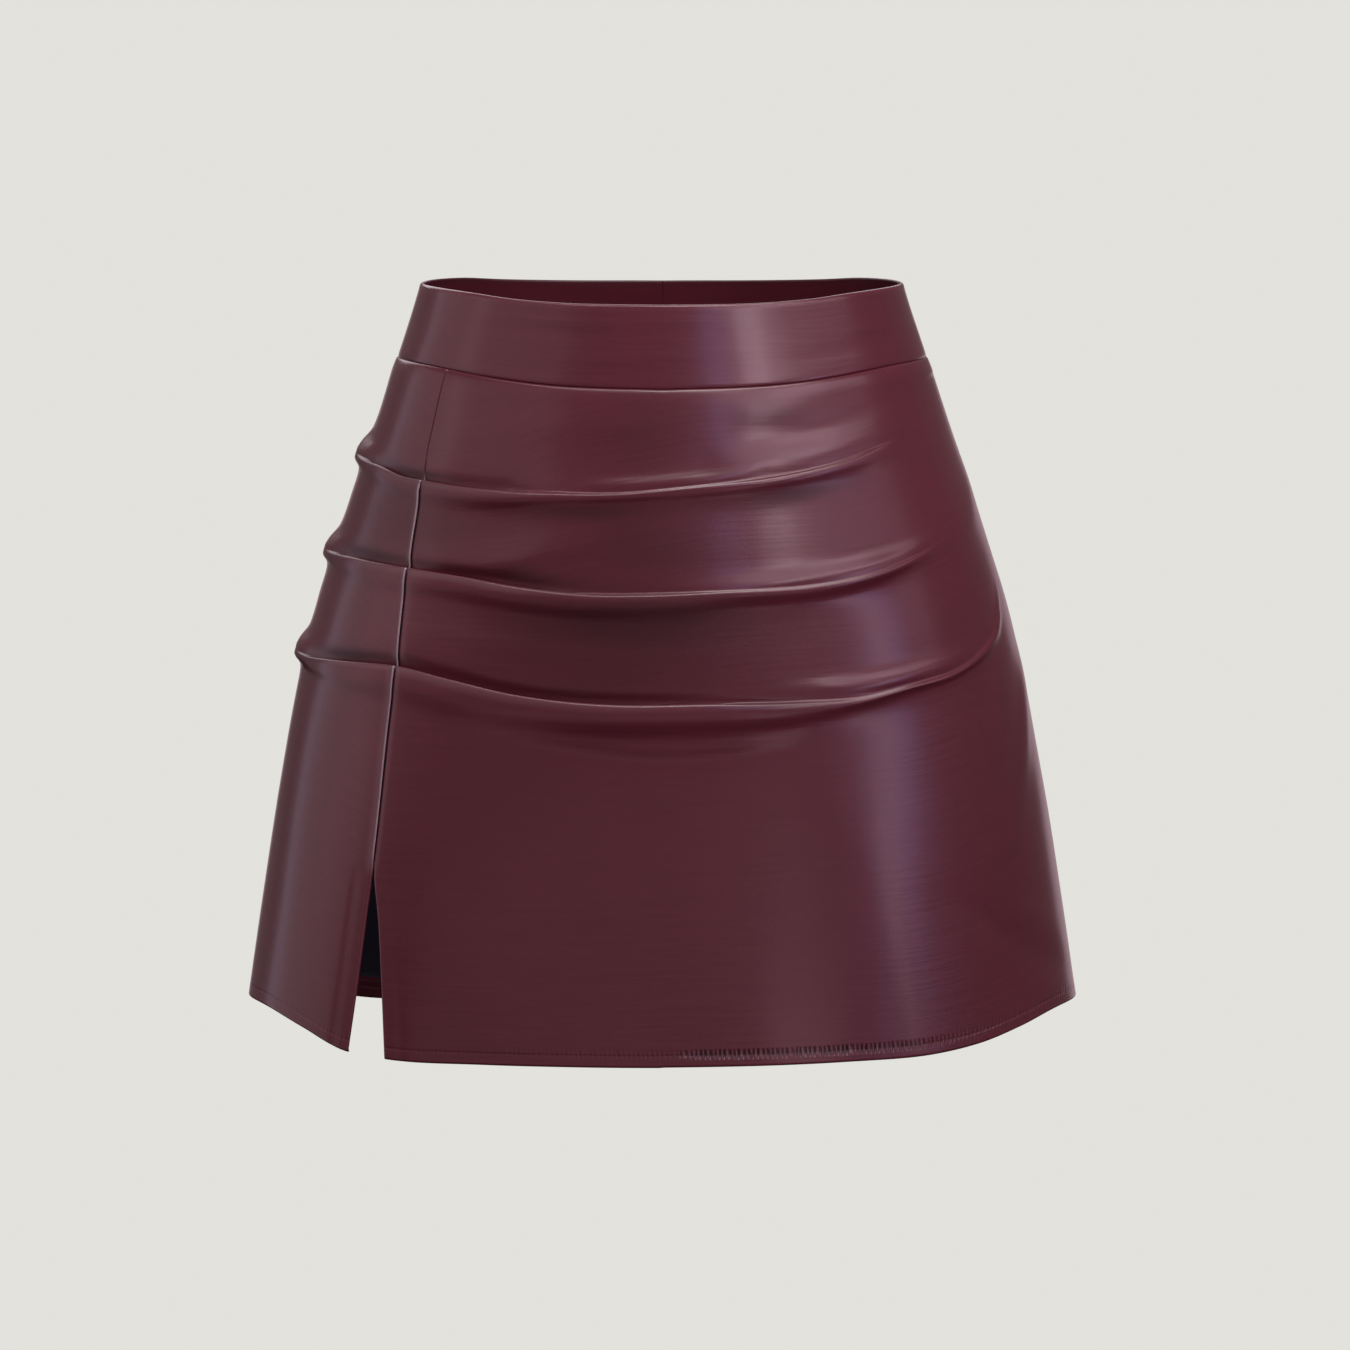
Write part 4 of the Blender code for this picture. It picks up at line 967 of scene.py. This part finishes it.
# %% Lay a panel
def make_panel(name, node, rows, edges, width, spacing, slit_side=0, lip=0.0):
    """Lay a panel. Where slit_side is -1 or 1, its left or right edge has the slit and stands out by lip."""
    edge_lines = [SLIT_LINES if side == slit_side else SEAM_LINES for side in (-1, 1)]
    angle, below, out = laid_out(rows, edges, column_shares(width, spacing[0], *edge_lines), spacing[1])
    from_left = along(points_at(angle, below, out), 1)
    distances = {-1: from_left, 1: from_left[:, -1:] - from_left}
    above_hem = level("hem", angle) - below
    band_seam = level("band_seam", angle)
    by_slit = (slit_side != 0) & (below > SLIT_TOP - FOLD_STEP)
    out = out + relief_at(angle, below) * ramp(below, band_seam, band_seam + FADE)
    for side, distance in distances.items():
        on_slit = by_slit & (side == slit_side)
        roll = rolled(distance, np.where(on_slit, EDGE_RADIUS, SEAM_RADIUS))
        out -= roll * np.where(on_slit, 1.0, SEAM_DIP)
    out -= rolled(above_hem, EDGE_RADIUS)
    distance, crest, shade = distances[slit_side or 1], 0.0, {}
    if slit_side:
        pleated = ramp(below, *FIRST_PLEAT) * ramp(below, SLIT_TOP + FADE / 2, SLIT_TOP - FADE / 2)
        turn_line = ramp(below, SLIT_TOP, SLIT_TOP + FADE) * bell(distance - SLIT_TURN_IN, TURN_REACH)
        out += lip * pleated * bell(distance, LIP_REACH) - TURN_DENT * turn_line
        crest = along_pleats(angle, below, *CREST, "height")
        # a painted highlight on the raised seam's edge, with the pleats' painted highlight and painted shade
        shade = pleat_shade(angle, below, pleated * bell(distance - 0.25, 0.42) * (lip > 0))
    points = points_at(angle, below, out)
    cloth = lay_grid(name, points, (leather, knit))
    edge = np.maximum(bell(above_hem, WEAR_REACH), np.where(by_slit, bell(distance, WEAR_REACH), 0.0))
    record(cloth, worn=np.clip(EDGE_WEAR * edge + CREST_WEAR * crest, 0.0, 1.0),
           pucker=np.interp(from_front(angle), *np.array(PUCKER_RANGE, float).T), **shade)
    give_wall(cloth, (above_hem <= HEM_TURN_UP + 0.01) | by_slit & (distance <= SLIT_TURN_IN + 0.3))
    declare_sheet(cloth, node)


# %% Front and side-front panels
FRONT_SPACING = (2.40, 1.50)         # between columns and between rows

make_panel("front_panel_leather", "front_panel", pleated_rows(), (seam["front_edge"], constant(SIDE_SEAM)),
           400.0, FRONT_SPACING, slit_side=-1, lip=-0.45)
make_panel("side_front_leather", "side_front_panel", pleated_rows(),
           (constant(-SIDE_SEAM), seam["side_front_edge"]), 126.0, FRONT_SPACING, slit_side=1, lip=0.8)

# %% Back panels
PARTED_EDGE = 1.6
BACK_SPACING = (2.6, 2.4)


def parted_edge(side, beside_slider):
    """The centre-back edge of a panel or a tape: it stands off where the slider parts it."""
    def edge(below):
        share = ramp(below, PARTED_DEPTH, CLOSED_DEPTH)
        distance = beside_slider * (1.0 - share * share * (3 - 2 * share))
        return CENTRE_BACK + side * degrees_for(distance, CENTRE_BACK, below)

    return edge


make_panel("back_left_leather", "back_panel_left", plain_rows(),
           (constant(SIDE_SEAM), parted_edge(-1, PARTED_EDGE)), 235.0, BACK_SPACING)
make_panel("back_right_leather", "back_panel_right", plain_rows(),
           (parted_edge(+1, PARTED_EDGE), constant(360.0 - SIDE_SEAM)), 235.0, BACK_SPACING)

# %% [markdown]
# ## The waistband
# The band is one strip folded in half along its top edge, so its upper edge is a soft round fold and both its
# faces are leather. Its cross-section is laid as a loop: up the outside, over the fold and down the inside.

# %% Rows round the band's cross-section
BAND_FOLD_RADIUS = DOUBLE_WALL / 2
BAND_MIDDLE = BAND_OUT - BAND_FOLD_RADIUS
BAND_FOOT = ((0.0, -1.05), (-0.4, -0.75), (-1.1, -0.55), (-2.4, -0.5))


def band_rows():
    """List the loop from the foot of the outer face, over the fold, to the foot of the inner face."""
    outer = [from_level("band_seam", distance, out) for distance, out in BAND_FOOT]
    shoulder = from_level("band_top", BAND_FOLD_RADIUS, BAND_OUT)
    outer += [between(outer[-1], shoulder, share) for share in np.linspace(0.0, 1.0, 17)[1:-1]]
    radius, turns = BAND_FOLD_RADIUS, np.radians(np.linspace(0.0, 180.0, 9))
    fold = [from_level("band_top", radius * (1 - math.sin(turn)), BAND_MIDDLE + radius * math.cos(turn))
            for turn in turns]
    inside = BAND_OUT - DOUBLE_WALL
    inner_foot = from_level("band_seam", -2.0, inside)
    inner = [between(fold[-1], inner_foot, share) for share in np.linspace(0.0, 1.0, 13)[1:]]
    foot = ((-0.5, inside + 0.2), (0.0, -2.1), (0.0, -1.06))
    return outer + fold + inner + [from_level("band_seam", *place) for place in foot]


# %% Soft unevenness of the band
# In the form of the body's creases.
BAND_CREASES = (
    (0.2, 2.2, 2.2, ((-60, 9, 0), (-46, 8, 0.8), (-24, 9, 1), (-9, 10, 0.8), (8, 8, 0.5), (20, 7, 0))),
    (-0.18, 3, 3, ((-58, 13, 0), (-40, 12, 1), (-14, 14, 0.8), (6, 12, 0))),
    (0.15, 3.5, 3.5, ((-34, 25, 0), (-12, 27, 1), (14, 24, 0.7), (30, 22, 0))),
    (-0.2, 4, 4, ((22, 30, 0), (44, 24, 1), (70, 18, 1), (88, 16, 0))),
    (0.18, 4, 4, ((96, 20, 0), (120, 18, 1), (150, 24, 1), (176, 22, 0))),
    (-0.18, 4, 4, ((184, 22, 0), (206, 18, 1), (236, 22, 1), (260, 18, 0))),
)
print("the band has", len(band_rows()), "named rows and", len(BAND_CREASES), "faint creases")


# %% The band's front and two halves of its back
def make_band(name, node, start, end, width):
    """Lay a band from one angle to another; its top edge is worn in front and gets painted shade at the back.
    """
    shares = column_shares(width, 2.6, SEAM_LINES[:5], SEAM_LINES[:5])
    angle, below, out = laid_out(band_rows(), (constant(start), constant(end)), shares, 2.6)
    from_left = along(points_at(angle, below, out), 1)
    nearest = np.minimum(from_left, from_left[:, -1:] - from_left)
    out = BAND_MIDDLE + (out - BAND_MIDDLE) * (1.0 - 0.30 * rolled(nearest, 0.6) / 0.6)
    out += unevenness(angle, below, UNEVEN_BAND) + creases_at(angle, below, BAND_CREASES)
    points = points_at(angle, below, out)
    band = lay_grid(name, points, (leather,))
    from_top = below - level("band_top", angle)
    if node == "waistband_front":
        record(band, worn=0.75 * bell(from_top, 1.2))
    else:
        # painted shade along the top edge of the back band
        record(band, sheltered=0.9 * bell(from_top, 1.6))
    bpy.ops.object.mode_set(mode="EDIT")
    bpy.ops.mesh.select_all(action="SELECT")
    bpy.ops.mesh.remove_doubles(threshold=0.03 * MM)
    bpy.ops.mesh.fill_holes(sides=0)
    bpy.ops.mesh.select_all(action="SELECT")
    bpy.ops.mesh.normals_make_consistent(inside=False)
    bpy.ops.object.mode_set(mode="OBJECT")
    bpy.ops.object.shade_smooth_by_angle(angle=SHARP_EDGE)
    declare_sheet(band, node)


make_band("band_front_leather", "waistband_front", -SIDE_SEAM, SIDE_SEAM, 375.0)
make_band("band_back_left_leather", "waistband_back_left", SIDE_SEAM, CENTRE_BACK, 160.0)
make_band("band_back_right_leather", "waistband_back_right", CENTRE_BACK, 360.0 - SIDE_SEAM, 160.0)

# %% [markdown]
# ## The zip inside the centre back
# A concealed zip is sewn behind the two back panels, so only its pull shows outside. Each tape carries a
# row of moulded teeth along its inner edge.

# %% The two tapes
TAPE_DEPTHS = (43.5, 55.5, 61.5, 80.0, 100.0, 120.0, 140.0, 160.0, 180.0)
TAPE_WIDTH, PARTED_TAPE = 11.0, 3.6
STRIP_THICKNESS = 0.9
BEHIND_WALL = -WALL * 1.05           # the wall takes up a little more where the cloth slants
TAPE_OUT = BEHIND_WALL - 0.75


def level_row(below, out):
    return lambda angle: (np.full_like(angle, below), np.full_like(angle, out))


def lay_strip(name, rows, edges, columns, row_spacing, finish):
    """Lay a narrow strip behind the panels, pressed in wherever they dip; return it and its points."""
    angle, below, out = laid_out(rows, edges, np.linspace(0.0, 1.0, columns), row_spacing)
    points = points_at(angle, below, out + np.minimum(relief_at(angle, below), 0.0))
    strip = lay_grid(name, points, (finish,))
    apply(strip, inward_wall(strip, STRIP_THICKNESS))
    bpy.ops.object.shade_smooth_by_angle(angle=SHARP_EDGE)
    return strip, points


for side_name, side in (("left", -1), ("right", +1)):
    edges = (parted_edge(side, PARTED_TAPE), beside(constant(CENTRE_BACK), side * TAPE_WIDTH))
    rows = [level_row(below, TAPE_OUT) for below in TAPE_DEPTHS]
    strip, points = lay_strip(f"tape_{side_name}", rows, edges[::side], 9, 2.5, tape)
    declare_sheet(strip, f"zip_tape_{side_name}")


# %% Small blocks and their copies
def small_block(name, size, bevel, finish):
    """Add a block with rounded edges at the origin; its size is in millimetres."""
    block = add(bpy.ops.mesh.primitive_cube_add, name, size=1.0)
    bpy.ops.transform.resize(value=[side * MM for side in size])
    bpy.ops.object.transform_apply(location=False)
    edges = block.modifiers.new("edges", "BEVEL")
    edges.width, edges.segments = bevel * MM, 1
    apply(block, edges)
    block.data.materials.append(finish.material)
    bpy.ops.object.shade_smooth_by_angle(angle=math.radians(40.0))
    return block


def repeat(item, places):
    """Copy a piece to each place, as meshes of their own, and join them all."""
    copies = []
    bpy.ops.object.select_all(action="DESELECT")
    for place in places:
        copy = bpy.data.objects.new(item.name, item.data.copy())
        bpy.context.collection.objects.link(copy)
        copy.data.transform(place)
        copy.select_set(True)
        copies.append(copy)
    bpy.data.objects.remove(item, do_unlink=True)
    bpy.context.view_layer.objects.active = copies[0]
    bpy.ops.object.join()
    return copies[0]


def add_to_skirt(item, name):
    item.name = item.data.name = name
    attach(item, "skirt")


# %% Moulded teeth and the bottom stop
TOOTH = (2.3, 1.0, 0.75)             # across, out and up, in millimetres
TOOTH_PITCH, TOOTH_ASIDE = 1.5, 0.75
TEETH_FROM, TEETH_TO = 64.0, 177.0
TEETH_OUT = TAPE_OUT - STRIP_THICKNESS - 0.35

for name, side in (("zip_teeth_left", -1), ("zip_teeth_right", +1)):
    depths = np.arange(TEETH_FROM, TEETH_TO, TOOTH_PITCH) + (side > 0) * TOOTH_PITCH / 2
    angles = CENTRE_BACK + side * degrees_for(TOOTH_ASIDE, CENTRE_BACK, depths)
    dip = np.minimum(relief_at(angles, depths), 0.0)
    places = [Matrix.Translation(point) for point in points_at(angles, depths, TEETH_OUT + dip)]
    teeth = repeat(small_block(name, TOOTH, 0.18, tape), places)
    add_to_skirt(teeth, name)
    print(name, "has", len(places), "teeth")

stop = small_block("zip_stop", (5.4, 1.6, 2.4), 0.3, zip_metal)
stop.data.transform(Matrix.Translation(points_at(CENTRE_BACK, TEETH_TO + 1.6, TEETH_OUT + 0.1)))
add_to_skirt(stop, "zip_stop")

# %% [markdown]
# ## Thread that holds the hook and the bar
# The hook's plate is sewn down by a few loops across it, and each foot of the bar by two.

# %% A loop of thread
THREAD_RADIUS = 0.2


def thread_loop(name, height, depth):
    """Bend a ring of thread that stands in the plane of up and out; sizes are in millimetres."""
    mean_radius = (height + depth) / 4
    loop = add(bpy.ops.mesh.primitive_torus_add, name, rotation=(0.0, math.pi / 2, 0.0), major_radius=1.0,
               minor_radius=THREAD_RADIUS / mean_radius, major_segments=20, minor_segments=6)
    bpy.ops.transform.resize(value=(mean_radius * MM, depth / 2 * MM, height / 2 * MM))
    bpy.ops.object.transform_apply(location=False)
    loop.data.materials.append(thread.material)
    loop.data.shade_smooth()
    return loop


# %% Thread on the hook and the bar
hook_low, hook_high = (Vector(corner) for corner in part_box("band_hook"))
bar_low, bar_high = (Vector(corner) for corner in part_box("band_bar"))
hook_middle, bar_middle = (hook_low + hook_high) / 2, (bar_low + bar_high) / 2
far_end = hook_high.x if hook_middle.x > bar_middle.x else hook_low.x
inwards = math.copysign(MM, bar_middle.x - far_end)
hook_places = [
    Matrix.Translation((far_end + inwards * distance, hook_high.y - 0.15 * MM, hook_middle.z))
    for distance in (0.7, 1.3, 1.9, 2.6)
]
hook_thread = repeat(thread_loop("hook_thread", 7.0, 2.0), hook_places)
add_to_skirt(hook_thread, "hook_thread")

bar_places = []
for height in (bar_low.z + 0.9 * MM, bar_high.z - 0.9 * MM):
    band_inside = points_at(CENTRE_BACK, -height / MM, BAND_OUT - DOUBLE_WALL)[1]
    for shift in (-0.25, 0.3):
        place = (bar_middle.x + shift * MM, band_inside - 0.4 * MM, height)
        bar_places.append(Matrix.Translation(place))
bar_thread = repeat(thread_loop("bar_thread", 2.2, 1.9), bar_places)
add_to_skirt(bar_thread, "bar_thread")
print("the hook is sewn on with", len(hook_places), "loops and the bar with", len(bar_places))

# %% [markdown]
# ## Seam allowances
# At each side seam the cut edges are pressed open and lie on the inside with their leather face inwards.

# %% Pressed-open allowances at the side seams
ALLOWANCE, ALLOWANCE_OUT = 10.8, BEHIND_WALL - 0.25
ALLOWANCE_STEPS = (2.5, 40.0, 90.0, 140.0, 190.0, 240.0, 290.0)


def make_allowance(name, line, side):
    edges = (constant(line), beside(constant(line), side * ALLOWANCE))
    rows = [from_level("band_seam", step, ALLOWANCE_OUT) for step in ALLOWANCE_STEPS]
    rows.append(from_level("hem", -HEM_TURN_UP - 1.0, ALLOWANCE_OUT))
    strip, points = lay_strip(name, rows, edges[::side], 6, 4.0, leather)
    record(strip)
    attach(strip, "skirt")
    print(name, "is pressed open")


for side_name, line, to_back in (("left", SIDE_SEAM, +1), ("right", 360.0 - SIDE_SEAM, -1)):
    make_allowance(f"allowance_{side_name}_towards_front", line, -to_back)
    make_allowance(f"allowance_{side_name}_towards_back", line, to_back)
